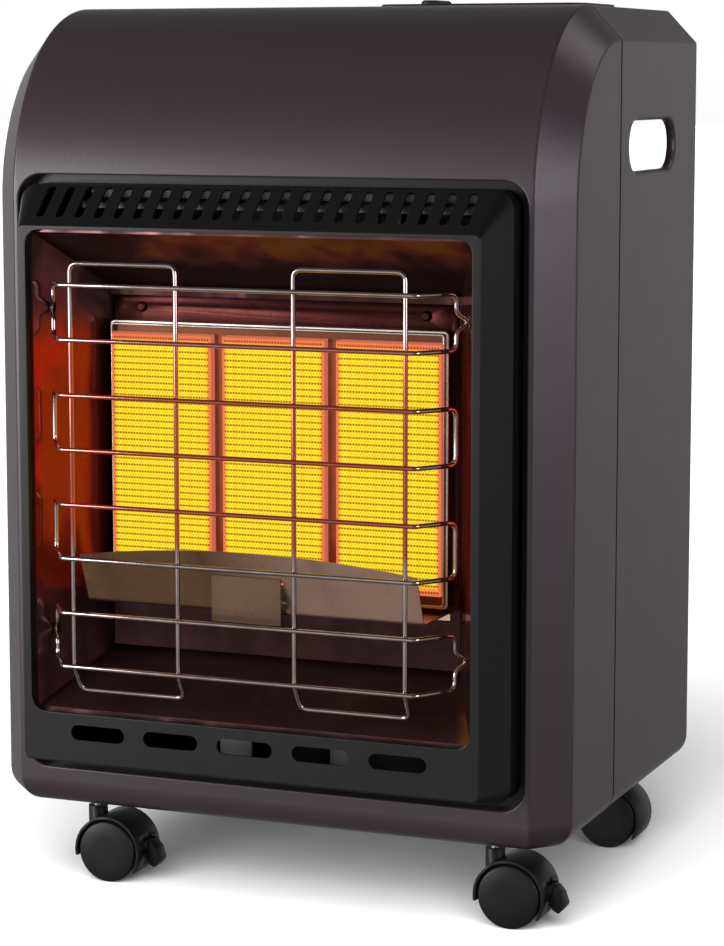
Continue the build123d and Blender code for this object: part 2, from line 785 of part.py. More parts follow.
def make_burner_box(x):
    """A tray that holds a plaque in its mouth, with the venturi tube that feeds it."""
    gap = seat_gap
    outline = Pos(x, plaque_z) * Rectangle(box_width, box_height)
    rebate = Pos(x, plaque_z) * Rectangle(plaque_width + 2 * gap, plaque_height + 2 * gap)
    plenum = Pos(x, plaque_z) * Rectangle(plaque_width - 2 * box_shoulder, plaque_height - 2 * box_shoulder)
    seat = plaque_depth + plaque_thick
    body = slab(outline, box_front, box_rear)
    roof = plaque_z - box_height / 2 + box_wall + box_shoulder
    place = Pos(x, back(venturi_depth), 0)
    body += place * funnel(0, roof)
    body -= place * funnel(box_wall, roof + 1)
    body -= slab(rebate, box_front - 1, seat)
    return body - slab(plenum, seat - 1, box_rear - box_wall)


def make_burner_screws():
    screws = []
    for x, z in burner_screw_places():
        under = back_depth - frame_sheet
        shank = flatted(screw_radius, (x, back(under), z), (x, back(under + screw_length), z))
        head = flatted(screw_head, (x, back(under), z), (x, back(under - screw_head_height), z))
        screws.append(shank + chamfer(head.faces().sort_by(Axis.Y)[0].edges(), 1.0))
    return Compound(children=screws)


# ---------------------------------------------------------------- gas line
def make_manifold():
    """A closed bar that carries the injectors, on two feet."""
    half = plaque_pitch + manifold_size
    depths = (venturi_depth - manifold_size / 2, venturi_depth + manifold_size / 2)
    low = manifold_high - manifold_size
    body = block((-half, half), depths, (low, manifold_high))
    for side in (-1, 1):
        x = side * plaque_pitch / 2
        xs = (x - manifold_foot / 2, x + manifold_foot / 2)
        body += block(xs, (depths[0], depths[0] + 2), (plate_high, low + 1))
        body += block(xs, (depths[0], depths[1] + 6), (plate_high, plate_high + 2))
    return body


def make_injectors():
    tip = venturi_low - 2
    jets = []
    for i in (-1, 0, 1):
        x = i * plaque_pitch
        shoulder = tip - 3
        hexagon = RegularPolygon(injector_across / 2, 6, major_radius=False)
        jet = Pos(x, back(venturi_depth), manifold_high) * extrude(hexagon, amount=shoulder - manifold_high)
        place = (x, back(venturi_depth))
        jets.append(jet + flatted(injector_tip, (*place, shoulder), (*place, tip)))
    return Compound(children=jets)


def valve_low():
    return well_floor_under - valve_neck_height - valve_height


def pilot_outlet_z():
    return valve_low() + 2.5 * pilot_tube_radius


def make_main_tube():
    start = knob_depth_at - valve_deep / 2
    z = valve_low() + valve_height / 2
    end_z = manifold_high - manifold_size / 2
    end = venturi_depth + manifold_size / 2
    points = [(knob_x, start, z), (knob_x, gas_tube_depth, z), (knob_x, gas_tube_depth, end_z), (knob_x, end, end_z)]
    return bent(gas_tube_radius, points, [gas_tube_bend] * 2)


def make_pilot_tube():
    x = pilot_tube_x()
    port_x, port_z = pilot_port()
    start = knob_depth_at - valve_deep / 2
    pilot_z = pilot_axis_z()
    points = [
        (x, start, pilot_outlet_z()),
        (x, pilot_tube_depth, pilot_outlet_z()),
        (x, pilot_tube_depth, port_z),
        (port_x, pilot_tube_depth, port_z),
        (port_x, pilot_riser_depth, port_z),
        (port_x, pilot_riser_depth, pilot_z),
        (port_x, bracket_depth + pilot_length / 2, pilot_z),
    ]
    return bent(pilot_tube_radius, points, [pilot_tube_bend] * 3 + [pilot_riser_bend] * 2)


# ---------------------------------------------------------------- deflector and pilot
def tray_floor():
    """The Z of the tray floor's upper side."""
    return floor_gap + deflector_low + deflector_sheet / 2


def pilot_axis_z():
    return tray_floor() + bracket_height / 2 + 0.5


def make_deflector():
    half_sheet = deflector_sheet / 2
    low = floor_gap + deflector_low
    rear = back_depth - half_sheet
    lean = deflector_lean / deflector_rise
    points = [
        (rear, low - deflector_flange),
        (rear, low),
        (deflector_fold, low),
        (deflector_fold - deflector_lean, low + deflector_rise),
    ]
    xs = (-deflector_half, deflector_half)
    tray = folded(points, [1.0, deflector_bend], deflector_sheet, xs)
    arch_end = low + deflector_rise - deflector_arch
    arch_top = low + deflector_rise - 0.3
    above = make_face(
        [
            ThreePointArc((-deflector_half - 1, arch_end), (0, arch_top), (deflector_half + 1, arch_end)),
            Polyline(
                (deflector_half + 1, arch_end),
                (deflector_half + 1, arch_top + 20),
                (-deflector_half - 1, arch_top + 20),
                (-deflector_half - 1, arch_end),
            ),
        ]
    )
    tray -= slab(above, deflector_fold - deflector_lean - 5, back_depth + 1)
    shield_high = low - shield_drop + shield_height
    cut = shield_width / 2 + shield_slit
    wall_at = deflector_fold - lean * (shield_high - low)
    window = block((-cut, cut), (wall_at - 3, deflector_fold + 4), (low + deflector_bend, shield_high - 2))
    tray -= window
    flap_depths = (wall_at - deflector_sheet, wall_at)
    flap = (-shield_width / 2, shield_width / 2)
    tray += block(flap, flap_depths, (low - shield_drop, shield_high))
    port_x, _ = pilot_port()
    slot = pilot_tube_radius + 1
    riser = (pilot_riser_depth - slot, pilot_riser_depth + slot)
    tray -= block((port_x - slot, port_x + slot), riser, (low - 2, low + 2))
    return tray


def pilot_places():
    """X and hole radius of the pilot burner, the thermocouple and the electrode in their bracket."""
    return {
        "pilot": (-pilot_spread, pilot_radius),
        "probe": (0.0, probe_radius),
        "electrode": (pilot_spread, electrode_radius),
    }


def make_pilot_bracket():
    half = bracket_width / 2
    floor = tray_floor()
    foot = block((-half, half), (bracket_depth - 9, bracket_depth), (floor, floor + 1))
    post = block((-half, half), (bracket_depth - 1, bracket_depth), (floor, floor + bracket_height + 3))
    body = foot + post
    for x, radius in pilot_places().values():
        start = (x, back(bracket_depth - 3), pilot_axis_z())
        end = (x, back(bracket_depth + 3), pilot_axis_z())
        body -= flatted(radius + running_gap, start, end, outside=True)
    return body


def pilot_rod(name, length, rear_share=0.5):
    """A round body that passes through its hole in the pilot bracket."""
    x, radius = pilot_places()[name]
    front = bracket_depth - length * (1 - rear_share)
    rear = bracket_depth + length * rear_share
    return rod(radius, (x, back(front), pilot_axis_z()), (x, back(rear), pilot_axis_z()))


def make_pilot_burner():
    x, radius = pilot_places()["pilot"]
    body = pilot_rod("pilot", pilot_length)
    port = block(
        (x - radius - 1, x + radius + 1),
        (bracket_depth - pilot_length / 2 + 2, bracket_depth - pilot_length / 2 + 4),
        (pilot_axis_z(), pilot_axis_z() + radius + 1),
    )
    return body - port


def make_thermocouple():
    x, radius = pilot_places()["probe"]
    probe = pilot_rod("probe", probe_length)
    start = (x, back(bracket_depth), pilot_axis_z())
    nut = flatted(radius + 1.9, start, (x, back(bracket_depth + 4), pilot_axis_z()), 6)
    return probe + nut


def make_electrode():
    """A ceramic sleeve with the bare spark wire bent towards the pilot burner."""
    x, radius = pilot_places()["electrode"]
    z = pilot_axis_z()
    tip = bracket_depth - electrode_length / 2 - 5
    points = [(x, bracket_depth, z), (x, tip, z), (x - 9, tip, z)]
    return pilot_rod("electrode", electrode_length) + bent(electrode_wire, points, [2.0])


# ---------------------------------------------------------------- wire guard
def hook_heights():
    """The Zs at which the lowest and the highest rail loop hook into the firebox."""
    low = floor_gap + rail_low + rail_height / 2
    return low, low + (rail_loops - 1) * rail_pitch


def mirrored(wire, x):
    """The wire with its mirror image across a plane of constant X."""
    return wire + wire.mirror(Plane(origin=(x, 0, 0), x_dir=(0, 1, 0), z_dir=(1, 0, 0)))


def rail_loop(low, hooked):
    high = low + rail_height
    middle = (low + high) / 2
    points = [(0, -rail_reach, low), (rail_half, -rail_reach, low), (rail_end, -rail_end_reach, low)]
    bends = [rail_bend, rail_bend]
    if hooked:
        points.append((rail_end, -rail_end_reach, middle - hook_half))
        points.append((rail_end + hook_out, hook_back - rail_end_reach, middle))
        points.append((rail_end, -rail_end_reach, middle + hook_half))
        bends += [hook_bend, hook_bend, hook_bend]
    points += [(rail_end, -rail_end_reach, high), (rail_half, -rail_reach, high), (0, -rail_reach, high)]
    bends += [rail_bend, rail_bend]
    return mirrored(bent(wire_radius, points, bends), 0)


def upright_loop(side):
    middle = side * (upright_inner + upright_outer) / 2
    edge = side * upright_outer
    reach = rail_reach - 2 * wire_radius + weld_bite
    low = floor_gap + upright_low
    high = floor_gap + upright_high
    points = [
        (middle, -reach, high),
        (edge, -reach, high),
        (edge, -reach, low + upright_kick_rise),
        (edge, upright_kick - reach, low),
        (middle, upright_kick - reach, low),
    ]
    return mirrored(bent(wire_radius, points, [rail_bend, rail_bend, rail_bend]), middle)


def make_guard():
    wires = [upright_loop(-1), upright_loop(1)]
    for i in range(rail_loops):
        low = floor_gap + rail_low + i * rail_pitch
        wires.append(rail_loop(low, i in (0, rail_loops - 1)))
    return wires[0].fuse(*wires[1:])


# ---------------------------------------------------------------- controls
def at_panel(x, depth):
    return Pos(x, back(depth), 0)


def make_control_panel():
    outer = RectangleRounded(panel_width, panel_deep, panel_corner)
    tub = RectangleRounded(panel_width - 2 * well_margin, panel_deep - 2 * well_margin, panel_corner - 0.5)
    tub_wide = panel_width - 2 * well_margin - 2 * well_wall
    tub_deep = panel_deep - 2 * well_margin - 2 * well_wall
    hollow = RectangleRounded(tub_wide, tub_deep, panel_corner - well_wall)
    place = Pos(panel_x, back(panel_depth_at), 0)
    rim = extrude(outer, amount=panel_proud)
    rim = chamfer(rim.edges().group_by(Axis.Z)[-1], panel_proud / 2)
    body = place * Pos(0, 0, skin_top) * rim
    body += place * Pos(0, 0, well_floor_under) * extrude(tub, amount=well_depth + panel_proud / 2)
    body -= place * Pos(0, 0, well_floor) * extrude(hollow, amount=well_depth + 2 * panel_proud)
    for x, radius in ((knob_x, stem_radius + 1), (igniter_x, button_radius + seat_gap)):
        body -= upright(radius, x, knob_depth_at, well_floor_under - 1, well_floor + 1)
    return body


def stem_section(radius, gap=0.0):
    """A round shaft with one flat."""
    flat = radius - stem_flat + gap
    return Circle(radius + gap) - Pos(0, flat + radius) * Rectangle(4 * radius, 2 * radius)


def make_valve_stem():
    low = valve_low() + valve_height / 2
    knob_low = well_floor + knob_lift
    high = skin_top + knob_proud - 2 - knob_travel - seat_gap - 0.5
    flat_low = knob_low - knob_travel - seat_gap
    place = at_panel(knob_x, knob_depth_at) * Pos(0, 0, flat_low)
    round_part = upright(stem_radius, knob_x, knob_depth_at, low, flat_low)
    return round_part + place * extrude(stem_section(stem_radius), amount=high - flat_low)


def make_control_knob():
    low = well_floor + knob_lift
    high = skin_top + knob_proud
    skirt = extrude(Circle(knob_radius), amount=knob_skirt)
    skirt = chamfer(skirt.edges().group_by(Axis.Z)[-1], 1.5)
    outline = Rot(0, 0, 90) * SlotOverall(knob_grip_length, knob_grip_width)
    grip = extrude(outline, amount=high - low)
    grip = chamfer(grip.edges().group_by(Axis.Z)[-1], 1.5)
    bore = extrude(stem_section(stem_radius, running_gap), amount=high - low - 2)
    return at_panel(knob_x, knob_depth_at) * Pos(0, 0, low) * (skirt + grip - bore)


def make_valve():
    x, depth = knob_x, knob_depth_at
    half = valve_width / 2
    low = valve_low()
    high = low + valve_height
    body = block((x - half, x + half), (depth - valve_deep / 2, depth + valve_deep / 2), (low, high))
    body = chamfer(body.edges().filter_by(Axis.Z), 3.0)
    body += upright(valve_neck, x, depth, high - 1, well_floor_under)
    return body - upright(stem_radius + running_gap, x, depth, low + valve_height / 2 - 1, well_floor_under + 1)


def make_gas_inlet():
    """A brass nipple for the hose nut, screwed into the back of the valve."""
    z = valve_low() + valve_height / 2
    start = knob_depth_at + valve_deep / 2
    shoulder = start + inlet_hex_length
    tip = shoulder + inlet_length
    hexagon = Pos(knob_x, z) * RegularPolygon(inlet_hex, 6)
    body = slab(hexagon, start, shoulder)
    nose = rod(inlet_radius, (knob_x, back(shoulder - 1), z), (knob_x, back(tip), z))
    body += chamfer(nose.edges().sort_by(Axis.Y)[-1], 2.0)
    return body - rod(inlet_bore, (knob_x, back(start + 3), z), (knob_x, back(tip + 1), z))


def make_igniter():
    body = upright(igniter_radius, igniter_x, knob_depth_at, well_floor_under - igniter_length, well_floor_under)
    bore_low = well_floor_under - button_travel - 4
    body -= upright(button_radius + seat_gap, igniter_x, knob_depth_at, bore_low, well_floor_under + 1)
    return body


def make_button():
    low = well_floor_under - 3
    cap = upright(button_radius, igniter_x, knob_depth_at, low, well_floor + button_height)
    return chamfer(cap.edges().sort_by(Axis.Z)[-1], 1.2)


def make_tip_switch():
    wide, deep, high = switch_size
    middle = switch_inset - width / 2
    xs = (middle - wide / 2, middle + wide / 2)
    depths = (switch_depth - deep / 2, switch_depth + deep / 2)
    body = block(xs, depths, (plate_high + 1.5, plate_high + high))
    body = chamfer(body.edges().filter_by(Axis.Z), 2.0)
    return body + block((xs[0] - 8, xs[1] + 8), depths, (plate_high, plate_high + 1.5))


# ---------------------------------------------------------------- casters
def caster_places():
    return [(side * caster_x, depth) for depth in (caster_front, caster_rear) for side in (-1, 1)]


def axle_plane(x, depth):
    """A plane seen from the front whose origin is the middle of the caster's axle."""
    return Plane(origin=(x + trail, back(depth), wheel_radius), x_dir=(1, 0, 0), z_dir=(0, -1, 0))


def polar(radius, angle):
    return radius * math.cos(math.radians(angle)), radius * math.sin(math.radians(angle))


def make_caster_stem(x, depth):
    """A stem held in the base plate by a hexagonal collar under it and a nut on top, with its swivel pin below."""
    pin = upright(pin_radius, x, depth, socket_height - pin_depth, plate_low - collar_height)
    place = (x, back(depth))
    stem = pin + flatted(thread_radius, (*place, plate_low), (*place, plate_high + nut_height + 2))
    for across, low, high in ((collar_across, collar_height, 0), (nut_across, -plate, plate + nut_height)):
        hexagon = RegularPolygon(across / 2, 6, major_radius=False)
        stem += Pos(x, back(depth), plate_low - low) * extrude(hexagon, amount=low + high)
    return stem


def hood_outline():
    """The part of a disc that the hood covers, cut away below the axle."""
    far = 3 * hood_radius
    wedge = Polyline((0, 0), polar(far, hood_left), (0, -far), polar(far, hood_right), close=True)
    return Circle(hood_radius) - make_face(wedge)


def make_hood(x, depth, braked):
    half = web_thick / 2 + wheel_gap + wheel_width
    reach = web_thick / 2 + wheel_gap / 2
    place = axle_plane(x, depth)
    body = extrude(hood_outline(), amount=half - 0.5, both=True)
    socket_low = hood_radius - 12
    octagon = RegularPolygon(socket_radius, 8, major_radius=False)
    socket = extrude(octagon, amount=socket_height - wheel_radius - socket_low)
    body += Pos(-trail, socket_low, 0) * Rot(-90, 0, 0) * socket
    lift = (socket_height - wheel_radius + socket_low) / 2
    ear_top = ear_height - wheel_radius
    ear = Pos(-trail - socket_radius + ear_thick / 2, (lift + ear_top) / 2, 0)
    body += ear * Box(ear_thick, ear_top - lift, socket_radius)
    if braked:
        lug_half = pedal_half + pedal_gap + lug_thick
        body += Pos(*pedal_pivot) * extrude(RegularPolygon(lug_radius, 8), amount=lug_half, both=True)
    pocket = extrude(Circle(hood_radius - hood_wall), amount=half)
    for side in (-1, 1):
        shift = Pos(0, 0, reach) if side > 0 else Pos(0, 0, -reach - half)
        body -= shift * pocket
    body += extrude(Circle(axle_boss), amount=web_thick / 2, both=True)
    body -= extrude(Circle(axle_radius + running_gap), amount=half, both=True)
    if braked:
        slot_half = pedal_half + pedal_gap
        slot_at = pedal_pivot[0] - pedal_clear
        body -= Pos(slot_at + hood_radius, 0, 0) * Box(2 * hood_radius, hood_radius, 2 * slot_half)
        bore = RegularPolygon(pedal_pin + running_gap, 8, major_radius=False)
        body -= Pos(*pedal_pivot) * extrude(bore, amount=half, both=True)
    body = place * body
    bore = upright(pin_radius + running_gap, x, depth, socket_height - pin_depth - 0.5, ear_height + 1)
    return body - bore


def make_wheels(x, depth):
    """Two wheels and the axle that they are pressed on, one wheel each side of the web."""
    inner = web_thick / 2 + wheel_gap
    outer = inner + wheel_width
    half = [
        (axle_radius, 0),
        (axle_radius, inner),
        (wheel_radius, inner),
        (wheel_radius, outer - wheel_chamfer),
        (wheel_radius - wheel_chamfer, outer),
        (0, outer),
    ]
    other = [(radius, -along) for radius, along in reversed(half[1:])]
    profile = Plane.XZ * make_face(Polyline(*half, *other, close=True))
    return axle_plane(x, depth) * revolve(profile, axis=Axis.Z)


def make_pedal(x, depth):
    """A brake pedal on its own pin: its heel swings down onto the treads."""
    px, pz = pedal_pivot
    outline = Polyline(
        (px - 1.0, pz + 2.6),
        (px + 4.5, pz + 2.4),
        (px + 8.5, pz - 2.0),
        (px + 11.3, pz - 10.6),
        (px + 7.0, pz - 16.0),
        (px + 3.0, pz - 14.0),
        (px - 0.6, pz - 7.0),
        (px - 1.6, pz - 0.5),
        close=True,
    )
    body = extrude(make_face(outline), amount=pedal_half, both=True)
    body = fillet(body.edges().filter_by(Axis.Z).sort_by(Axis.X)[-3:], 1.5)
    pin = pedal_half + pedal_gap + lug_thick
    body += Pos(px, pz, 0) * extrude(Circle(pedal_pin), amount=pin, both=True)
    return axle_plane(x, depth) * body


# ---------------------------------------------------------------- all nodes
os.makedirs("parts", exist_ok=True)

save(make_front_cover(), "front_cover")
save(make_cabinet_shell(), "cabinet_shell")
save(make_base_plate(), "base_plate")
save(make_heat_shield(), "heat_shield")
save(make_rear_cover(), "rear_cover")
save(make_surround(), "front_surround")
save(make_vent_baffle(), "vent_baffle")
save(make_reflector(), "firebox_reflector")
save(make_burner_frame(), "burner_frame")
for place, name in ((-1, "left"), (0, "centre"), (1, "right")):
    save(make_plaque(place * plaque_pitch), f"plaque_{name}")
    save(make_burner_box(place * plaque_pitch), f"burner_box_{name}")
save(make_burner_screws(), "burner_screws")
save(make_manifold(), "gas_manifold")
save(make_injectors(), "injectors")
save(make_main_tube(), "main_gas_tube")
save(make_pilot_tube(), "pilot_gas_tube")
save(make_deflector(), "deflector")
save(make_pilot_bracket(), "pilot_bracket")
save(make_pilot_burner(), "pilot_burner")
save(make_thermocouple(), "thermocouple")
save(make_electrode(), "ignition_electrode")
save(make_guard(), "wire_guard")
save(make_control_panel(), "control_panel")
save(make_valve(), "gas_valve")
save(make_gas_inlet(), "gas_inlet")
save(make_valve_stem(), "valve_stem")
save(make_control_knob(), "control_knob")
save(make_igniter(), "igniter_body")
save(make_button(), "igniter_button")
save(make_tip_switch(), "tip_over_switch")
for (x, depth), name in zip(caster_places(), ("front_left", "front_right", "rear_left", "rear_right")):
    braked = name.startswith("front")
    save(make_caster_stem(x, depth), f"caster_stem_{name}")
    save(make_hood(x, depth, braked), f"caster_hood_{name}")
    save(make_wheels(x, depth), f"caster_wheels_{name}")
    if braked:
        save(make_pedal(x, depth), f"caster_brake_{name}")
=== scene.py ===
"""A cabinet gas heater on casters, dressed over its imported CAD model. Every length is in metres."""

import json
import math

import bmesh
import bpy
from mathutils import Matrix, Vector

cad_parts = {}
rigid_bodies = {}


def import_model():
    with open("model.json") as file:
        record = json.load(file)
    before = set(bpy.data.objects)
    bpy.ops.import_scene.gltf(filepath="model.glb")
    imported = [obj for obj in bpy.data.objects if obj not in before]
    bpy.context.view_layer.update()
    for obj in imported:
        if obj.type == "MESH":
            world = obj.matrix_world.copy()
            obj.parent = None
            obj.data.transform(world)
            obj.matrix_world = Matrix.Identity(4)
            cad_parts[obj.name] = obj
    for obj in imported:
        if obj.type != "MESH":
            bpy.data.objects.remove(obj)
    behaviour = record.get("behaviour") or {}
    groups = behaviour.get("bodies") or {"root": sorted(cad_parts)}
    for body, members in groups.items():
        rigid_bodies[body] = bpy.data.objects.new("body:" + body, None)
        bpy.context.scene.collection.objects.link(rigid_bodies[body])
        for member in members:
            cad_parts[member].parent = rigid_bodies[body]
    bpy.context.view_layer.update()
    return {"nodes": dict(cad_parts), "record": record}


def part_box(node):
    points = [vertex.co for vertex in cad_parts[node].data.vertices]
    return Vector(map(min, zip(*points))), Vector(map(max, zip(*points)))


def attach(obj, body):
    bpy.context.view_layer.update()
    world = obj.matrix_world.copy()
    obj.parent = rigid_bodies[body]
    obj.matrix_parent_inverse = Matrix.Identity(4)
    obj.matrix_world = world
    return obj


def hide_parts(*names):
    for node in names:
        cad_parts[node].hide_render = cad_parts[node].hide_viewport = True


for leftover in list(bpy.data.objects):
    bpy.data.objects.remove(leftover)
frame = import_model()
nodes = frame["nodes"]

# Places read from the frame. A depth is measured back from the flat face of the front cover.
face_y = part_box("front_cover")[0].y
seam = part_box("front_cover")[1].y - face_y
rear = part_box("cabinet_shell")[1].y - face_y
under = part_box("front_cover")[0].z
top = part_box("front_cover")[1].z
half_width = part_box("front_cover")[1].x

# Casing
sheet = 0.0012
skin_gap = 0.0003
groove = 0.0036
brow_rise = 0.1323
brow_top_radius = 0.104
corner_across = 0.022
corner_deep = 0.0234
corner_run = 0.010
foot_radius = 0.019
foot_lip = 0.008
press_radius = 0.0035
recess_half = 0.184
recess_low = 0.0872
recess_high = 0.4998
recess_corner = 0.017
recess_roll = 0.0014
recess_return = 0.012
hand_length = 0.1085
hand_height = 0.0344
hand_depth = 0.1925
hand_drop = 0.0948
hand_lip = 0.006
hand_roll = 0.0034
seam_lap = 0.012
lap_gap = 0.0004
ledge_setback = 0.010
ledge_width = 0.012
hook_levels = (0.122, 0.362)
hook_slot_half = (0.0013, 0.0138)
hook_slot_rise = 0.0135
hook_slot_inset = 0.0006
well_border = 0.0045

# Black surround
surround_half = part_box("firebox_reflector")[1].x + 0.0152
surround_low = 0.0935
surround_high = 0.4935
surround_corner = 0.013
surround_wall = 0.0016
surround_reach = 0.036
rim_reach = 0.008
side_bevel = 0.0124
top_bevel = 0.0267
bottom_bevel = 0.0075
side_rail = 0.0058
top_rail = 0.0026
bottom_rail = 0.0345
mouth_corner = 0.011
mouth_lip = 0.006
flange_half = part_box("front_surround")[1].x
flange_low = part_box("front_surround")[0].z
flange_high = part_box("front_surround")[1].z
flange_corner = 0.0228
nose_corner = 0.004
surround_bends = [0.0006, 0.0014, 0.0012, 0.0012]
vent_count = 22
vent_pitch = 0.01446
vent_length = 0.0288
vent_width = 0.006
vent_rise = 0.0032
slot_count = 5
slot_pitch = 0.0547
slot_length = 0.0405
slot_height = 0.0105
slot_drop = 0.0132

# Burner frame, its tiles and the deflector in front
frame_half = 0.1222
frame_low = 0.217
frame_high = 0.3986
frame_lip = 0.015
frame_recess = 0.004
frame_wall = 0.001
frame_corner = 0.002
rim_corner = 0.003
opening_corner = 0.0015
rim_width = 0.0017
rim_depth = 0.0032
rim_inside = 0.0013
rim_sheet = 0.0006
frame_rear = 0.029
tile_face = 0.0134
tile_rise = 0.0008
tile_gap = 0.0003
tile_round = 0.0008
flange_beside = 0.0053
flange_above = 0.0184
flange_below = 0.004
screw_spread = 0.1045
screw_rise = 0.0105
screw_radius = 0.0016
flap_half = 0.025
flap_height = 0.0310

# Wire guard
wire_radius = 0.0016
weld_bite = 0.0004
rail_reach = 0.0512
rail_half = 0.127
rail_end = 0.145
rail_end_reach = 0.0243
rail_height = 0.0365
rail_pitch = 0.0736
rail_low = 0.1714
rail_loops = 4
hook_out = 0.0066
hook_back = 0.0085
hook_half = 0.006
upright_inner = 0.042
upright_outer = 0.1195
upright_low = 0.1535
upright_high = 0.443
upright_kick = 0.010
upright_kick_rise = 0.017
bend_radius = 0.006

# Casters
caster_x = 0.150
caster_depths = {"front": 0.042, "rear": 0.261}
trail = 0.015
wheel_radius = 0.022
wheel_inner = 0.0043
wheel_outer = 0.0177
axle_radius = 0.003
axle_gap = 0.00005
hood_radius = 0.025
hood_wall = 0.0018
hood_half = 0.0172
web_half = 0.0038
web_gap = 0.00025
axle_boss = 0.006
hood_left = 191.0
hood_right = -34.0
socket_radius = 0.0068
socket_low = 0.012
socket_top = 0.051
pedal_pivot = (0.0249, 0.005)
pedal_half = 0.0063
pedal_gap = 0.0004
pedal_bend = 0.0022
lug_radius = 0.003
lug_wall = 0.0026
notch_behind = 0.0026
notch_half = 0.013
notch_length = 0.03

# Camera, from a fit to the photograph
camera_place = (0.771, face_y - 1.721, 0.5665)
camera_pitch = 7.28
camera_yaw = 22.16
camera_focal = 141.5
camera_shift = -0.047

# Studio. The lights are (name, place, size, power, colour); the sky's brightness is (direction, value).
floor_half = 30.0
lights = (
    ("key_light", (-2.0, -2.1, 0.65), 1.3, 62.0, (1.0, 0.96, 0.98)),
    ("side_light", (2.2, -1.0, 0.80), 1.0, 19.0, (0.95, 0.86, 1.0)),
    ("rear_light", (1.3, 0.9, 1.7), 0.8, 4.5, (1.0, 0.93, 0.98)),
)
light_target = Vector((0, 0, 0.32))
sun_power = 7.4
sun_spread = 70
sun_tilt = (54, 0, 8)
sky_by_axis = {
    "Z": ((-1.0, 0.12), (-0.35, 0.35), (-0.08, 0.86), (0.0, 1.0), (0.06, 1.0), (0.28, 0.24), (1.0, 0.08)),
    "X": ((-0.95, 0.5), (-0.65, 1.0), (0.05, 1.0), (0.25, 0.42), (0.8, 0.5)),
}


# ---------------------------------------------------------------- mesh helpers
def back(depth):
    """The Y of a depth behind the front cover's face."""
    return face_y + depth


def new_object(name, data):
    """An object in the scene with this mesh, curve, light or camera."""
    obj = bpy.data.objects.new(name, data)
    bpy.context.scene.collection.objects.link(obj)
    return obj


def mesh_from(name, verts, faces, merge=True):
    """An object with these faces, all turned outwards; merge joins points in the same place."""
    mesh = bpy.data.meshes.new(name)
    mesh.from_pydata([tuple(v) for v in verts], [], faces)
    bm = bmesh.new()
    bm.from_mesh(mesh)
    if merge:
        bmesh.ops.remove_doubles(bm, verts=bm.verts, dist=1e-6)
    bmesh.ops.recalc_face_normals(bm, faces=bm.faces)
    bm.to_mesh(mesh)
    bm.free()
    return new_object(name, mesh)


def grid(name, rows, loop=False):
    """A surface through rows of points that all have the same count; loop joins each row's ends."""
    count = len(rows[0])
    verts = [p for row in rows for p in row]
    faces = []
    for r in range(len(rows) - 1):
        for c in range(count if loop else count - 1):
            d = (c + 1) % count
            faces.append((r * count + c, r * count + d, (r + 1) * count + d, (r + 1) * count + c))
    return mesh_from(name, verts, faces)


def through(name, rings, radius):
    """A closed band through rings of points, with its bends rounded from ring to ring."""
    meridians = [rounded_line(points, radius) for points in zip(*rings)]
    return grid(name, [list(row) for row in zip(*meridians)], loop=True)


def rounded_line(points, radius, steps=4):
    """The polyline with each inner corner replaced by a short smooth bend."""
    points = [Vector(p) for p in points]
    radii = radius if isinstance(radius, (list, tuple)) else [radius] * (len(points) - 2)
    line = [points[0]]
    for before, corner, after, r in zip(points, points[1:], points[2:], radii):
        into = before - corner
        out = after - corner
        if r == 0 or into.length < 1e-7 or out.length < 1e-7:
            line += [corner.copy() for _ in range(steps + 1)]
            continue
        half = (math.pi - into.angle(out)) / 2
        reach = min(r * math.tan(half), into.length * 0.49, out.length * 0.49)
        start = corner + into.normalized() * reach
        end = corner + out.normalized() * reach
        for i in range(steps + 1):
            t = i / steps
            line.append(start * (1 - t) ** 2 + corner * 2 * t * (1 - t) + end * t**2)
    line.append(points[-1])
    return line


def ring(half, low, high, radius, depth, steps=8):
    """A rounded rectangle seen from the front, as points at one depth."""
    points = []
    centres = (
        (half - radius, high - radius, 0),
        (-half + radius, high - radius, 90),
        (-half + radius, low + radius, 180),
        (half - radius, low + radius, 270),
    )
    for x, z, start in centres:
        for i in range(steps + 1):
            angle = math.radians(start + 90 * i / steps)
            points.append((x + radius * math.cos(angle), back(depth), z + radius * math.sin(angle)))
    return points


def stadium(length, height, steps=12):
    """The outline of a slot in its own plane."""
    radius = height / 2
    run = length / 2 - radius
    points = []
    for side, start in ((1, -90), (-1, 90)):
        for i in range(steps + 1):
            angle = math.radians(start + 180 * i / steps)
            points.append((side * run + radius * math.cos(angle), radius * math.sin(angle)))
    return points


def prism(name, outline, plane, low, high):
    """A closed solid: a flat outline run between two heights of its own plane, then placed."""
    count = len(outline)
    verts = [plane @ Vector((x, y, h)) for h in (low, high) for x, y in outline]
    faces = [tuple(range(count)), tuple(range(count, 2 * count))]
    faces += [(i, (i + 1) % count, count + (i + 1) % count, count + i) for i in range(count)]
    return mesh_from(name, verts, faces, merge=False)


def slab(name, outline, plane, half):
    """A prism that runs equally far to both sides of its plane."""
    return prism(name, outline, plane, -half, half)


def turned(name, profile, plane, steps, smooth):
    """A solid of revolution about the plane's Z axis, from (radius, height) points."""
    rows = []
    for i in range(steps):
        angle = 2 * math.pi * i / steps
        rows.append([plane @ Vector((r * math.cos(angle), r * math.sin(angle), h)) for r, h in profile])
    rows.append(rows[0])
    return shade(grid(name, rows), smooth)


def placing(origin, x_dir, z_dir):
    """The matrix of a plane with this origin, X direction and normal."""
    x = Vector(x_dir).normalized()
    z = Vector(z_dir).normalized()
    y = z.cross(x)
    matrix = Matrix((x, y, z)).transposed().to_4x4()
    matrix.translation = Vector(origin)
    return matrix


def front_plane(depth, x=0.0, z=0.0):
    """A plane that faces the front: its X runs to the right, its Y up and its normal forwards."""
    return placing((x, back(depth), z), (1, 0, 0), (0, -1, 0))


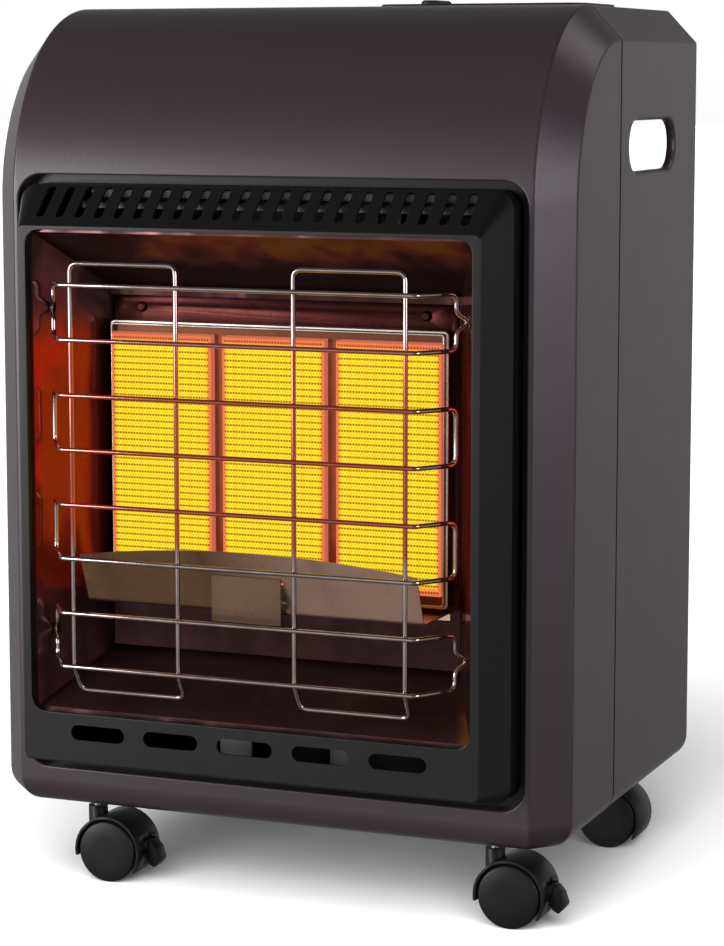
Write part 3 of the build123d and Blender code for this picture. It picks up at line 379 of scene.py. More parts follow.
def join(name, parts):
    """Several objects made into one."""
    bm = bmesh.new()
    for part in parts:
        bm.from_mesh(part.data)
        bpy.data.objects.remove(part)
    mesh = bpy.data.meshes.new(name)
    bm.to_mesh(mesh)
    bm.free()
    return new_object(name, mesh)


def settle(obj):
    """Puts the result of the object's modifiers into its mesh."""
    view = bpy.context.evaluated_depsgraph_get()
    mesh = bpy.data.meshes.new_from_object(obj.evaluated_get(view))
    obj.modifiers.clear()
    obj.data = mesh
    return obj


def thicken(obj, thickness):
    """Gives a surface its sheet thickness, on the side away from its normals."""
    solid = obj.modifiers.new("thickness", "SOLIDIFY")
    solid.thickness = thickness
    solid.offset = -1
    solid.use_even_offset = True
    return settle(obj)


def face(obj, point, away=True):
    """Turns the normals of an open surface away from a point, or towards it."""
    bm = bmesh.new()
    bm.from_mesh(obj.data)
    bm.normal_update()
    sense = sum(f.normal.dot(f.calc_center_median() - Vector(point)) * f.calc_area() for f in bm.faces)
    if (sense < 0) == away:
        bmesh.ops.reverse_faces(bm, faces=bm.faces)
    bm.to_mesh(obj.data)
    bm.free()
    return obj


def cut(obj, cutters, operation="DIFFERENCE"):
    """Cuts closed solids out of a closed solid, or joins them to it."""
    tool = join("cutter", cutters)
    step = obj.modifiers.new("cut", "BOOLEAN")
    step.operation = operation
    step.solver = "EXACT"
    step.object = tool
    settle(obj)
    bpy.data.objects.remove(tool)


def soften(obj, width, angle=35, segments=2):
    """Rounds the sharp edges."""
    step = obj.modifiers.new("edges", "BEVEL")
    step.width = width
    step.segments = segments
    step.limit_method = "ANGLE"
    step.angle_limit = math.radians(angle)
    step.use_clamp_overlap = True
    settle(obj)


def shade(obj, angle=40):
    """Smooth shading that keeps edges sharper than the angle."""
    limit = math.radians(angle)
    bm = bmesh.new()
    bm.from_mesh(obj.data)
    for polygon in bm.faces:
        polygon.smooth = True
    for edge in bm.edges:
        edge.smooth = not (len(edge.link_faces) == 2 and edge.calc_face_angle(0) > limit)
    bm.to_mesh(obj.data)
    bm.free()
    return obj


def flatten(obj):
    """Lets the large flat faces set the normals, so that only the narrow bends look curved."""
    step = obj.modifiers.new("normals", "WEIGHTED_NORMAL")
    step.weight = 100
    step.keep_sharp = True
    return settle(obj)


def wire(name, lines, radius):
    """Round wires along lists of points; a line whose ends meet is closed."""
    curve = bpy.data.curves.new(name, "CURVE")
    curve.dimensions = "3D"
    curve.bevel_depth = radius
    curve.bevel_resolution = 5
    curve.use_fill_caps = True
    for line in lines:
        spline = curve.splines.new("POLY")
        closed = (Vector(line[0]) - Vector(line[-1])).length < 1e-6
        points = line[:-1] if closed else line
        spline.points.add(len(points) - 1)
        for target, point in zip(spline.points, points):
            target.co = (*point, 1)
        spline.use_cyclic_u = closed
    return new_object(name, curve)


# ---------------------------------------------------------------- materials
def new_material(name, color, metallic=0.0, roughness=0.5, specular=0.5):
    """A material and its shader node."""
    material = bpy.data.materials.new(name)
    material.use_nodes = True
    shader = material.node_tree.nodes["Principled BSDF"]
    feed(color, shader.inputs["Base Color"])
    feed(metallic, shader.inputs["Metallic"])
    feed(roughness, shader.inputs["Roughness"])
    feed(specular, shader.inputs["Specular IOR Level"])
    return material, shader


def node(near, kind, **settings):
    """A new node beside another one, or beside the one that a socket belongs to."""
    made = near.id_data.nodes.new(kind)
    for key, value in settings.items():
        if key in made.inputs:
            made.inputs[key].default_value = value
        else:
            setattr(made, key, value)
    return made


def feed(value, socket):
    """Gives an input its value: a number, a colour or another node's output."""
    if isinstance(value, tuple):
        socket.default_value = (*value, 1)
    elif isinstance(value, (int, float)):
        socket.default_value = value
    else:
        socket.id_data.links.new(value, socket)


def location(near, kind="Object"):
    """The place on the object, as a vector and as its separate axes."""
    place = node(near, "ShaderNodeTexCoord").outputs[kind]
    split = node(near, "ShaderNodeSeparateXYZ")
    feed(place, split.inputs["Vector"])
    return place, split.outputs


def stretched(near, scale):
    """The place on the object, scaled along each axis."""
    mapping = node(near, "ShaderNodeMapping", Scale=scale)
    feed(location(near)[0], mapping.inputs["Vector"])
    return mapping.outputs["Vector"]


def noise(vector, scale, detail):
    """A cloudy pattern, mostly between 0.2 and 0.8."""
    made = node(vector, "ShaderNodeTexNoise", Scale=scale, Detail=detail)
    feed(vector, made.inputs["Vector"])
    return made.outputs["Fac"]


def span(value, low, high, into_low=0.0, into_high=1.0):
    """The value moved from one range into another and kept inside it."""
    made = node(value, "ShaderNodeMapRange")
    for socket, given in zip(made.inputs, (value, low, high, into_low, into_high)):
        feed(given, socket)
    return made.outputs["Result"]


def falling(value, low, high):
    """One up to low, nothing from high on."""
    return span(value, low, high, 1.0, 0.0)


def arithmetic(operation, first, second=0.0):
    """A sum with one or two values, of which one at least is an output."""
    made = node(second if isinstance(first, (int, float)) else first, "ShaderNodeMath", operation=operation)
    feed(first, made.inputs[0])
    feed(second, made.inputs[1])
    return made.outputs["Value"]


def times(first, second):
    return arithmetic("MULTIPLY", first, second)


def minus(first, second):
    return arithmetic("SUBTRACT", first, second)


def away_from(middle, value):
    """How far a value is from a middle, to either side."""
    return arithmetic("ABSOLUTE", minus(value, middle))


def mix_colors(factor, first, second):
    """The first colour where the factor is nothing, the second where it's one."""
    made = node(factor, "ShaderNodeMix", data_type="RGBA")
    sockets = [made.inputs["Factor"], *[s for s in made.inputs if s.type == "RGBA"]]
    for value, socket in zip((factor, first, second), sockets):
        feed(value, socket)
    return [s for s in made.outputs if s.type == "RGBA"][0]


def bump(shader, height, strength, distance):
    """Fine relief, from a pattern of heights."""
    made = node(shader, "ShaderNodeBump", Strength=strength, Distance=distance)
    feed(height, made.inputs["Height"])
    feed(made.outputs["Normal"], shader.inputs["Normal"])


def coated(name, color, worn, roughness, grain=900.0, specular=0.5):
    """Powder coat or enamel: fine orange peel, faint cloudiness and uneven gloss."""
    material, shader = new_material(name, color, roughness=roughness, specular=specular)
    place, _ = location(shader)
    cloud = span(noise(place, 7.0, 4.0), 0.3, 0.7)
    feed(mix_colors(cloud, color, worn), shader.inputs["Base Color"])
    gloss = span(noise(place, 40.0, 5.0), 0.2, 0.8, roughness - 0.015, roughness + 0.02)
    feed(gloss, shader.inputs["Roughness"])
    bump(shader, noise(place, grain, 2.0), 0.25, 0.0002)
    return material


def brushed(name, color, dark, roughness, along=(1, 1, 1)):
    """Rolled or brushed metal: fine lines along one axis and faint stains."""
    material, shader = new_material(name, color, metallic=1.0, roughness=roughness)
    lines = noise(stretched(shader, along), 260.0, 4.0)
    stain = span(noise(location(shader)[0], 30.0, 5.0), 0.35, 0.75)
    feed(mix_colors(stain, color, dark), shader.inputs["Base Color"])
    gloss = span(lines, 0.2, 0.8, roughness - 0.08, roughness + 0.1)
    feed(gloss, shader.inputs["Roughness"])
    bump(shader, lines, 0.08, 0.0001)
    return material


def moulded(name, color, roughness, strength=0.2, specular=0.5):
    """Moulded plastic: fine even grain and slight sheen changes."""
    material, shader = new_material(name, color, roughness=roughness, specular=specular)
    place, _ = location(shader)
    shift = span(noise(place, 25.0, 3.0), 0.3, 0.7)
    lighter = tuple(min(1.0, c * 1.35 + 0.004) for c in color)
    feed(mix_colors(shift, color, lighter), shader.inputs["Base Color"])
    bump(shader, noise(place, 1500.0, 2.0), strength, 0.0001)
    return material


def chrome_with_painted_glow():
    """Bright chrome, with a painted red reflection and a faint painted glow where the wires cross in front
    of the plaques.
    """
    material, shader = new_material("chrome", (0.52, 0.42, 0.40), metallic=1.0, roughness=0.10)
    place, axes = location(shader)
    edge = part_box("plaque_right")[1].x
    low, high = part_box("deflector")[1].z + 0.004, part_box("plaque_right")[1].z
    half = (high - low) / 2
    # Painted glow: in front of the plaques the wires get a red base colour, a painted reflection of the
    # glow, and a faint red emission of their own.
    across = falling(away_from(0.0, axes["X"]), edge, edge + 0.012)
    up = falling(away_from((low + high) / 2, axes["Z"]), half - 0.004, half + 0.008)
    inside = times(across, up)
    stain = span(noise(place, 60.0, 4.0), 0.3, 0.7)
    plain = mix_colors(stain, (0.60, 0.50, 0.48), (0.42, 0.32, 0.30))
    feed(mix_colors(inside, plain, (0.46, 0.15, 0.12)), shader.inputs["Base Color"])
    feed(inside, shader.inputs["Emission Strength"])
    feed((0.075, 0.006, 0.003), shader.inputs["Emission Color"])
    bump(shader, noise(place, 500.0, 2.0), 0.04, 0.0001)
    return material


def reflector_finish():
    """Glossy steel gone maroon from heat; redder beside the plaques, partly heat tint and partly painted
    glow, and darker at the rear wall as painted shade; ripples break up what it mirrors.
    """
    material, shader = new_material("reflector", (0.1, 0.03, 0.03), metallic=0.75, roughness=0.2)
    feed((0.45, 0.2, 0.2), shader.inputs["Specular Tint"])
    place, axes = location(shader)
    low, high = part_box("plaque_left")[0].z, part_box("plaque_right")[1].z
    half = (high - low) / 2
    up = away_from((low + high) / 2, axes["Z"])
    # Painted glow: the walls are tinted redder level with the plaques, partly heat tint and partly the
    # plaques' glow painted in.
    hot = falling(up, half - 0.01, half + 0.02)
    cloud = span(noise(place, 14.0, 4.0), 0.3, 0.7)
    cool = mix_colors(cloud, (0.120, 0.060, 0.060), (0.085, 0.042, 0.043))
    tint = mix_colors(hot, cool, (0.30, 0.040, 0.020))
    # Painted shade: the rear wall deep in the firebox is given a much darker base colour.
    rear_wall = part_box("firebox_reflector")[1].y
    behind = span(axes["Y"], rear_wall - 0.010, rear_wall - 0.003)
    feed(mix_colors(behind, tint, (0.042, 0.018, 0.019)), shader.inputs["Base Color"])
    smear = noise(stretched(shader, (1, 1, 0.15)), 90.0, 4.0)
    feed(span(smear, 0.2, 0.8, 0.14, 0.26), shader.inputs["Roughness"])
    bump(shader, noise(stretched(shader, (1, 1, 0.6)), 22.0, 1.5), 0.8, 0.006)
    return material


def deflector_finish():
    """Straw-tinted steel with a fine grain, darker at the left and on the flap in the middle."""
    material, shader = new_material("warm_steel", (0.3, 0.2, 0.14), metallic=1.0, roughness=0.36)
    place, axes = location(shader)
    grain = span(noise(place, 420.0, 3.0), 0.3, 0.7)
    dark = mix_colors(grain, (0.40, 0.225, 0.125), (0.32, 0.180, 0.098))
    light = mix_colors(grain, (0.92, 0.60, 0.45), (0.80, 0.52, 0.39))
    tint = mix_colors(span(axes["X"], -0.03, 0.05), dark, light)
    flap_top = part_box("deflector")[0].z + flap_height
    across = falling(away_from(0.0, axes["X"]), flap_half, flap_half + 0.0002)
    flap = times(across, falling(axes["Z"], flap_top, flap_top + 0.0002))
    feed(mix_colors(flap, tint, (0.115, 0.072, 0.046)), shader.inputs["Base Color"])
    feed(span(grain, 0.0, 1.0, 0.32, 0.42), shader.inputs["Roughness"])
    return material


def plaque_finish():
    """Glowing ceramic: small cells with two flame holes each, dark holes between, redder edges."""
    material, shader = new_material("plaque", (0.16, 0.06, 0.01), roughness=0.9, specular=0.0)
    place, axes = location(shader)
    low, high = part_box("plaque_centre")
    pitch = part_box("plaque_right")[0].x - low.x
    cell_x, cell_z = 0.0062, 0.00438
    border_hole, flame_hole, flame_spread = 0.00075, 0.00045, 0.00125

    def fold(value, period, middle=0.0):
        """How far a value is from the nearest of the marks one period apart."""
        turns = arithmetic("DIVIDE", minus(value, middle), period)
        part = arithmetic("FRACT", arithmetic("ADD", turns, 100.5))
        return times(away_from(0.5, part), period)

    def dot(across, up, size, soft):
        """One inside round spots of this size."""
        squares = [times(v, v) for v in (across, up)]
        away = arithmetic("SQRT", arithmetic("ADD", *squares))
        return falling(away, size - soft, size + soft)

    local_x = fold(axes["X"], pitch)
    middle_z = (low.z + high.z) / 2
    from_column = fold(local_x, cell_x)
    from_row = fold(axes["Z"], cell_z, middle_z)
    from_border = minus(cell_z / 2, from_row)
    border_dots = dot(fold(local_x, cell_x / 3), from_border, border_hole, 0.00035)
    flame_holes = dot(minus(from_column, flame_spread), from_row, flame_hole, 0.0003)
    column_line = span(from_column, cell_x / 2 - 0.0006, cell_x / 2 - 0.0001)
    row_line = span(from_border, 0.0008, 0.0002)
    edge_x = minus((high.x - low.x) / 2, local_x)
    edge_z = minus((high.z - low.z) / 2, away_from(middle_z, axes["Z"]))
    edge = arithmetic("MINIMUM", edge_x, edge_z)
    soft_edge = arithmetic("MINIMUM", edge_x, times(edge_z, 0.5))
    cool = falling(soft_edge, 0.0012, 0.0040)
    patch = span(noise(place, 60.0, 3.0), 0.35, 0.75, 0.0, 0.25)
    hot = mix_colors(patch, (1.0, 0.80, 0.030), (0.96, 0.66, 0.012))
    glow = mix_colors(cool, hot, (0.86, 0.15, 0.08))
    lines = arithmetic("MAXIMUM", times(column_line, 0.55), times(row_line, 0.5))
    glow = mix_colors(lines, glow, (0.70, 0.27, 0.002))
    shade_color = mix_colors(cool, (0.20, 0.12, 0.0), (0.22, 0.012, 0.003))
    rim = span(edge, 0.0010, 0.0013)
    holes = times(arithmetic("MAXIMUM", border_dots, times(flame_holes, 0.7)), rim)
    glow = mix_colors(holes, glow, shade_color)
    side = falling(edge, 0.0, 0.0004)
    glow = mix_colors(side, glow, (0.46, 0.13, 0.08))
    feed(glow, shader.inputs["Emission Color"])
    feed(1.0, shader.inputs["Emission Strength"])
    bump(shader, minus(1.0, holes), 0.6, 0.0006)
    return material


def plate_finish():
    """Heat-tinted steel round the plaques, with a red glow painted on it between them."""
    material, shader = new_material("plaque_surround", (0.13, 0.05, 0.028), metallic=1.0, roughness=0.32)
    place, axes = location(shader)
    low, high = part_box("plaque_centre")
    half = (high.z - low.z) / 2
    up = away_from((low.z + high.z) / 2, axes["Z"])
    # Painted glow: between the plaques the plate gets a red emission of its own, partly heat glow and
    # partly the plaques' light painted in.
    heat = falling(up, half - 0.002, half + 0.0015)
    cloud = span(noise(place, 70.0, 3.0), 0.3, 0.7, 0.5, 1.0)
    feed(times(heat, cloud), shader.inputs["Emission Strength"])
    feed((0.16, 0.018, 0.008), shader.inputs["Emission Color"])
    bump(shader, noise(place, 300.0, 2.0), 0.1, 0.0001)
    return material


def dress(obj, material):
    """Makes this the object's only material."""
    obj.data.materials.clear()
    obj.data.materials.append(material)


def finish_piece(obj, body, slot, replaced, material=None):
    """Gives a piece the finish of its slot, or the material given, and the body that it moves with, and
    hides the CAD node that it replaces.
    """
    dress(obj, material or finishes[slot])
    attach(obj, body)
    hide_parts(replaced)


finishes = {
    "casing": coated("casing_paint", (0.049, 0.034, 0.038), (0.053, 0.037, 0.041), 0.34),
    "black_trim": coated("black_enamel", (0.0085, 0.008, 0.0075), (0.0105, 0.010, 0.009), 0.34, 700.0, 0.3),
    "reflector": reflector_finish(),
    "bright_steel": brushed("bright_steel", (0.66, 0.62, 0.56), (0.50, 0.44, 0.36), 0.28, (0.05, 1, 1)),
    "plaque": plaque_finish(),
    "zinc": brushed("zinc", (0.52, 0.53, 0.54), (0.40, 0.41, 0.42), 0.38, (1, 1, 0.06)),
    "chrome_wire": chrome_with_painted_glow(),
    "brass": brushed("brass", (0.72, 0.53, 0.24), (0.55, 0.40, 0.18), 0.30),
    "copper_tube": brushed("copper", (0.72, 0.38, 0.25), (0.50, 0.26, 0.18), 0.32),
    "alloy": brushed("alloy", (0.58, 0.58, 0.58), (0.45, 0.45, 0.46), 0.45),
    "black_plastic": moulded("black_plastic", (0.018, 0.018, 0.018), 0.48),
    "nylon": moulded("nylon", (0.0072, 0.0070, 0.0067), 0.40, specular=0.24),
    "button_plastic": moulded("red_plastic", (0.32, 0.015, 0.012), 0.25, strength=0.05),
    "white_ceramic": moulded("white_ceramic", (0.80, 0.78, 0.73), 0.3, strength=0.05),
}
# Painted shade: a darker copy of the zinc for the vent baffle and the heat shield, which lie in shade.
shaded_zinc = brushed("shaded_zinc", (0.110, 0.108, 0.100), (0.060, 0.058, 0.055), 0.5)
dark_steel = brushed("dark_steel", (0.052, 0.014, 0.012), (0.032, 0.009, 0.008), 0.30)
for part in frame["record"]["subparts"]:
    dress(nodes[part["node"]], finishes[part["material_slot"]])
dress(nodes["vent_baffle"], shaded_zinc)
dress(nodes["heat_shield"], shaded_zinc)
dress(nodes["deflector"], deflector_finish())
dress(nodes["burner_screws"], dark_steel)


# ---------------------------------------------------------------- casing
def brow_depth(z):
    """How far back the brow has curved at this height."""
    line = brow_line(48)
    if z <= line[0][1]:
        return 0.0
    for (d0, z0, *_), (d1, z1, *_) in zip(line, line[1:]):
        if z <= z1:
            return d0 + (d1 - d0) * (z - z0) / (z1 - z0)
    return seam


def brow_line(steps):
    """Points (depth, z, normal depth, normal z) up the brow's two tangent arcs."""
    drop = brow_rise - brow_top_radius
    lower_radius = (drop**2 + seam**2 - brow_top_radius**2) / (2 * (seam - brow_top_radius))
    lower_arc = math.atan2(drop, lower_radius - seam)
    points = []
    for i in range(steps + 1):
        angle = math.pi / 2 * i / steps
        if angle < lower_arc:
            centre, radius = (lower_radius, top - brow_rise), lower_radius
        else:
            centre, radius = (seam, top - brow_top_radius), brow_top_radius
        normal = (-math.cos(angle), math.sin(angle))
        points.append((centre[0] + radius * normal[0], centre[1] + radius * normal[1], *normal))
    return points


def outline_row(inset, z, rear_depth, front=0.0):
    """A level line round the casing from its left rear to its right rear, moved inwards by inset."""
    slope = math.hypot(corner_across, corner_deep)
    trim = inset * (corner_across + corner_deep - slope)
    across = corner_across - trim / corner_deep
    deep = corner_deep - trim / corner_across
    half = half_width - inset
    front += inset
    bend = front + deep
    side = [(half, rear_depth), (half, bend + corner_run), (half, bend), (half - across, front)]
    base = [(-x, d) for x, d in side] + [(x, d) for x, d in reversed(side)]
    return rounded_line([(x, back(d), z) for x, d in base], [0] + [press_radius] * 4 + [0])


def brow_row(depth, z, out_depth, out_z):
    """A line across the brow, in the plane of its normal, that ends in the side panels."""
    reach = corner_deep + corner_run
    inner = (depth - out_depth * reach, z - out_z * reach)
    corner = (depth - out_depth * corner_deep, z - out_z * corner_deep)
    side = [
        (half_width, seam, inner[1]),
        (half_width, *inner),
        (half_width, *corner),
        (half_width - corner_across, depth, z),
    ]
    base = [(-x, d, h) for x, d, h in side] + [(x, d, h) for x, d, h in reversed(side)]
    return rounded_line([(x, back(d), h) for x, d, h in base], [0] + [press_radius] * 4 + [0])


def foot_rows(row):
    """Rows from the lip under the casing, round the foot and up its sides."""
    rows = [row(foot_radius + foot_lip, under)]
    for i in range(11):
        angle = math.radians(90 - 9 * i)
        rows.append(row(foot_radius * (1 - math.cos(angle)), under + foot_radius * (1 - math.sin(angle))))
    return rows


def rolled(radius, length):
    """The (offset, depth) steps of an edge rolled inwards and then run straight."""
    steps = []
    for i in range(7):
        angle = math.radians(15 * i)
        steps.append((radius * (1 - math.sin(angle)), radius * (1 - math.cos(angle))))
    return [*steps, (0, length)]


def make_front_cover():
    """The front sheet: feet, flat face, chamfered corners, curved brow and a recess with a rolled edge."""
    rows = foot_rows(lambda inset, z: outline_row(inset, z, seam))
    start = under + foot_radius
    flat_top = top - brow_rise
    rows += [outline_row(0, start + (flat_top - start) * i / 6, seam) for i in range(1, 6)]
    rows += [brow_row(*point) for point in brow_line(40)]
    skin = thicken(face(grid("front_cover_skin", rows), (0, back(0.2), 0.3)), sheet)

    def recess_ring(offset):
        """The recess's outline on the flat face, moved outwards."""
        low, high = recess_low - offset, recess_high + offset
        return ring(recess_half + offset, low, high, recess_corner + offset, 0)

    def lip_at(offset, depth):
        """The same line further back, and following the brow where the recess reaches up into it."""
        follow = max(0.0, 1 - depth / recess_return)
        return [(x, y + depth + brow_depth(z) * follow, z) for x, y, z in recess_ring(offset)]

    outline = [(x, z) for x, _, z in recess_ring(recess_roll)]
    cut(skin, [slab("recess_cut", outline, front_plane(0.006), 0.02)])
    lip = grid("front_cover_lip", [lip_at(*step) for step in rolled(recess_roll, recess_return)], loop=True)
    lip = thicken(face(lip, (0, back(-0.05), 0.3), away=False), sheet)
    return flatten(shade(join("front_cover_skin", [skin, lip]), 30))


def cabinet_section(depth, inset):
    """The cabinet's outline seen from the front, from the left lip over the top to the right lip."""
    low = under + inset
    high = top - inset
    half = half_width - inset
    foot = foot_radius - inset
    line = [(-half + foot + foot_lip, low)]
    for i in range(11):
        angle = math.radians(9 * i)
        line.append((-half + foot * (1 - math.sin(angle)), low + foot * (1 - math.cos(angle))))
    side = [(-half, low + foot + corner_run), (-half, high - corner_deep)]
    corners = [(x, 0, z) for x, z in [*side, (-half + corner_across, high), (0, high)]]
    line += [(p.x, p.z) for p in rounded_line(corners, press_radius)]
    line += [(-x, z) for x, z in reversed(line[:-1])]
    return [(x, back(depth), z) for x, z in line]


def make_cabinet():
    """The sheet round sides and top, with hand holes, control well, seam lap and rear ledge."""
    start = seam + groove
    rows = [cabinet_section(start + (rear - start) * i / 6, skin_gap) for i in range(7)]
    skin = thicken(face(grid("cabinet_skin", rows), (0, back(0.2), 0.3)), sheet)
    half = half_width - skin_gap
    cutters = []
    lips = []
    for side in (-1, 1):
        plane = placing((side * half, back(hand_depth), top - hand_drop), (0, 1, 0), (side, 0, 0))
        hole = stadium(hand_length + 2 * hand_roll, hand_height + 2 * hand_roll)
        cutters.append(slab("hand_cut", hole, plane, 0.01))
        lines = []
        for offset, depth in rolled(hand_roll, hand_lip):
            line = stadium(hand_length + 2 * offset, hand_height + 2 * offset)
            lines.append([plane @ Vector((x, y, -depth)) for x, y in line])
        lip = face(grid("hand_lip", lines, loop=True), plane @ Vector((0, 0, 0.02)), away=False)
        lips.append(thicken(lip, sheet))
    low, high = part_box("control_panel")
    half_x = (high.x - low.x) / 2 - well_border
    half_y = (high.y - low.y) / 2 - well_border
    outline = [(-half_x, -half_y), (half_x, -half_y), (half_x, half_y), (-half_x, half_y)]
    middle = ((low.x + high.x) / 2, (low.y + high.y) / 2, top)
    cutters.append(slab("well_cut", outline, placing(middle, (1, 0, 0), (0, 0, 1)), 0.01))
    cut(skin, cutters)
    inset = skin_gap + sheet
    lap = [cabinet_section(depth, inset + lap_gap) for depth in (seam - seam_lap, seam + groove + seam_lap)]
    lap = thicken(face(grid("cabinet_lap", lap), (0, back(0.2), 0.3)), sheet)
    at = rear - ledge_setback
    outer = cabinet_section(at, inset)
    window = half_width - inset - ledge_width
    roof = top - inset - ledge_width
    inner = [(max(-window, min(window, x)), y, min(z, roof)) for x, y, z in outer]
    ledge = thicken(face(grid("cabinet_ledge", [outer, inner]), (0, back(0), 0.3)), sheet)
    low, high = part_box("rear_cover")
    half_x, half_z = hook_slot_half
    slot = [(-half_x, -half_z), (half_x, -half_z), (half_x, half_z), (-half_x, half_z)]
    slots = []
    for edge in (low.x + hook_slot_inset, high.x - hook_slot_inset):
        for z in hook_levels:
            slots.append(slab("hook_slot", slot, front_plane(at, edge, z + hook_slot_rise), 0.004))
    cut(ledge, slots)
    return flatten(shade(join("cabinet_skin", [skin, *lips, lap, ledge]), 30))


finish_piece(make_front_cover(), "housing", "casing", "front_cover")
finish_piece(make_cabinet(), "housing", "casing", "cabinet_shell")


# ---------------------------------------------------------------- black surround
def make_surround():
    """The black hood round the firebox: flange, bevels, vents above and slots below the mouth."""
    nose_half = surround_half - side_bevel
    nose_low = surround_low + bottom_bevel
    nose_high = surround_high - top_bevel
    mouth_half = nose_half - side_rail
    mouth_low = nose_low + bottom_rail
    mouth_high = nose_high - top_rail
    rings = [
        ring(flange_half, flange_low, flange_high, flange_corner, recess_return),
        ring(surround_half, surround_low, surround_high, surround_corner, recess_return),
        ring(surround_half, surround_low, surround_high, surround_corner, -rim_reach),
        ring(nose_half, nose_low, nose_high, nose_corner, -surround_reach),
        ring(mouth_half, mouth_low, mouth_high, mouth_corner, -surround_reach),
        ring(mouth_half, mouth_low, mouth_high, mouth_corner, mouth_lip - surround_reach),
    ]
    shell = face(through("surround_shell", rings, surround_bends), (0, back(0.3), 0.3))
    shell = thicken(shell, surround_wall)
    run = surround_reach - rim_reach
    middle = (0, back(-surround_reach + run / 2), nose_high + top_bevel / 2)
    bevel = placing(middle, (1, 0, 0), (0, -top_bevel, run))
    cutters = []
    for i in range(vent_count):
        x = (i - (vent_count - 1) / 2) * vent_pitch
        outline = [(x + b, vent_rise + a) for a, b in stadium(vent_length, vent_width, 8)]
        cutters.append(slab("vent", outline, bevel, 0.006))
    flat = front_plane(-surround_reach, 0, mouth_low - slot_drop)
    for i in range(slot_count):
        x = (i - (slot_count - 1) / 2) * slot_pitch
        outline = [(x + a, b) for a, b in stadium(slot_length, slot_height, 10)]
        cutters.append(slab("slot", outline, flat, 0.006))
    cut(shell, cutters)
    soften(shell, 0.0006, 62)
    return flatten(shade(shell, 30))


finish_piece(make_surround(), "housing", "black_trim", "front_surround")


# ---------------------------------------------------------------- burner frame
def frame_ring(outwards, depth, corner):
    """The burner frame's outline at a depth, moved outwards."""
    return ring(frame_half + outwards, frame_low - outwards, frame_high + outwards, corner, depth, 4)


def make_burner_lip():
    """The burner frame's rim: its side walls, turned round a narrow front lip."""
    rings = [
        frame_ring(rim_width, frame_rear, rim_corner),
        frame_ring(rim_width, frame_lip + rim_depth, rim_corner),
        frame_ring(0, frame_lip + rim_depth, frame_corner),
        frame_ring(0, frame_lip, frame_corner),
        frame_ring(-rim_inside, frame_lip, opening_corner),
        frame_ring(-rim_inside, frame_lip + frame_recess, opening_corner),
    ]
    lip = face(through("burner_lip", rings, rim_sheet), (0, back(0.3), 0.3))
    return shade(thicken(lip, rim_sheet))


def make_burner_plate():
    """The plate between and round the plaques."""
    low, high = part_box("plaque_centre")
    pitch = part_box("plaque_right")[0].x - low.x
    outline = [(x, z) for x, _, z in frame_ring(-frame_wall, 0, opening_corner)]
    plane = front_plane(frame_lip + frame_recess + frame_wall)
    plate = prism("burner_plate", outline, plane, 0, frame_wall)
    half = (high.x - low.x) / 2 + tile_gap
    bottom, ceiling = low.z - tile_gap, high.z + tile_rise + tile_gap
    openings = []
    for i in (-1, 0, 1):
        x = (low.x + high.x) / 2 + i * pitch
        corners = [(x - half, bottom), (x + half, bottom), (x + half, ceiling), (x - half, ceiling)]
        openings.append(prism("opening", corners, plane, -0.005, 0.01))
    cut(plate, openings)
    return shade(plate)


def make_tile(name, node_name):
    """A plaque: a ceramic tile whose face stands out of the plate round it."""
    low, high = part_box(node_name)
    corners = [(low.x, low.z), (high.x, low.z), (high.x, high.z + tile_rise), (low.x, high.z + tile_rise)]
    tile = prism(name, corners, front_plane(high.y - face_y), 0, high.y - back(tile_face))
    soften(tile, tile_round, segments=3)
    return shade(tile, 50)


def make_burner_flange():
    """The flat flange behind, with a hole for each screw."""
    half = frame_half + flange_beside
    bottom, ceiling = frame_low - flange_below, frame_high + flange_above
    outline = [(half, bottom), (half, ceiling), (-half, ceiling), (-half, bottom)]
    flange = prism("burner_flange", outline, front_plane(frame_rear), 0, frame_wall)
    inside = [(x, z) for x, _, z in frame_ring(0, 0, frame_corner)]
    cutters = [slab("inside", inside, front_plane(frame_rear), 0.005)]
    for side in (-1, 1):
        hole = front_plane(frame_rear, side * screw_spread, frame_high + screw_rise)
        cutters.append(slab("hole", disc(screw_radius, 24), hole, 0.005))
    cut(flange, cutters)
    soften(flange, 0.0003)
    return shade(flange)


def polar(radius, angle):
    """A point round the origin, its angle in degrees."""
    return radius * math.cos(math.radians(angle)), radius * math.sin(math.radians(angle))


def disc(radius, steps=48):
    return [polar(radius, 360 * i / steps) for i in range(steps)]


finish_piece(make_burner_lip(), "housing", "bright_steel", "burner_frame")
finish_piece(make_burner_plate(), "housing", "bright_steel", "burner_frame", plate_finish())
finish_piece(make_burner_flange(), "housing", "reflector", "burner_frame", dark_steel)
for hand in ("left", "centre", "right"):
    finish_piece(make_tile(f"tile_{hand}", f"plaque_{hand}"), "housing", "plaque", f"plaque_{hand}")


# ---------------------------------------------------------------- wire guard
def bent_line(points, radius=bend_radius):
    """The run of a wire: straight lines joined by smooth bends. Points are (x, depth, z)."""
    return rounded_line([(x, back(d), z) for x, d, z in points], radius, 6)


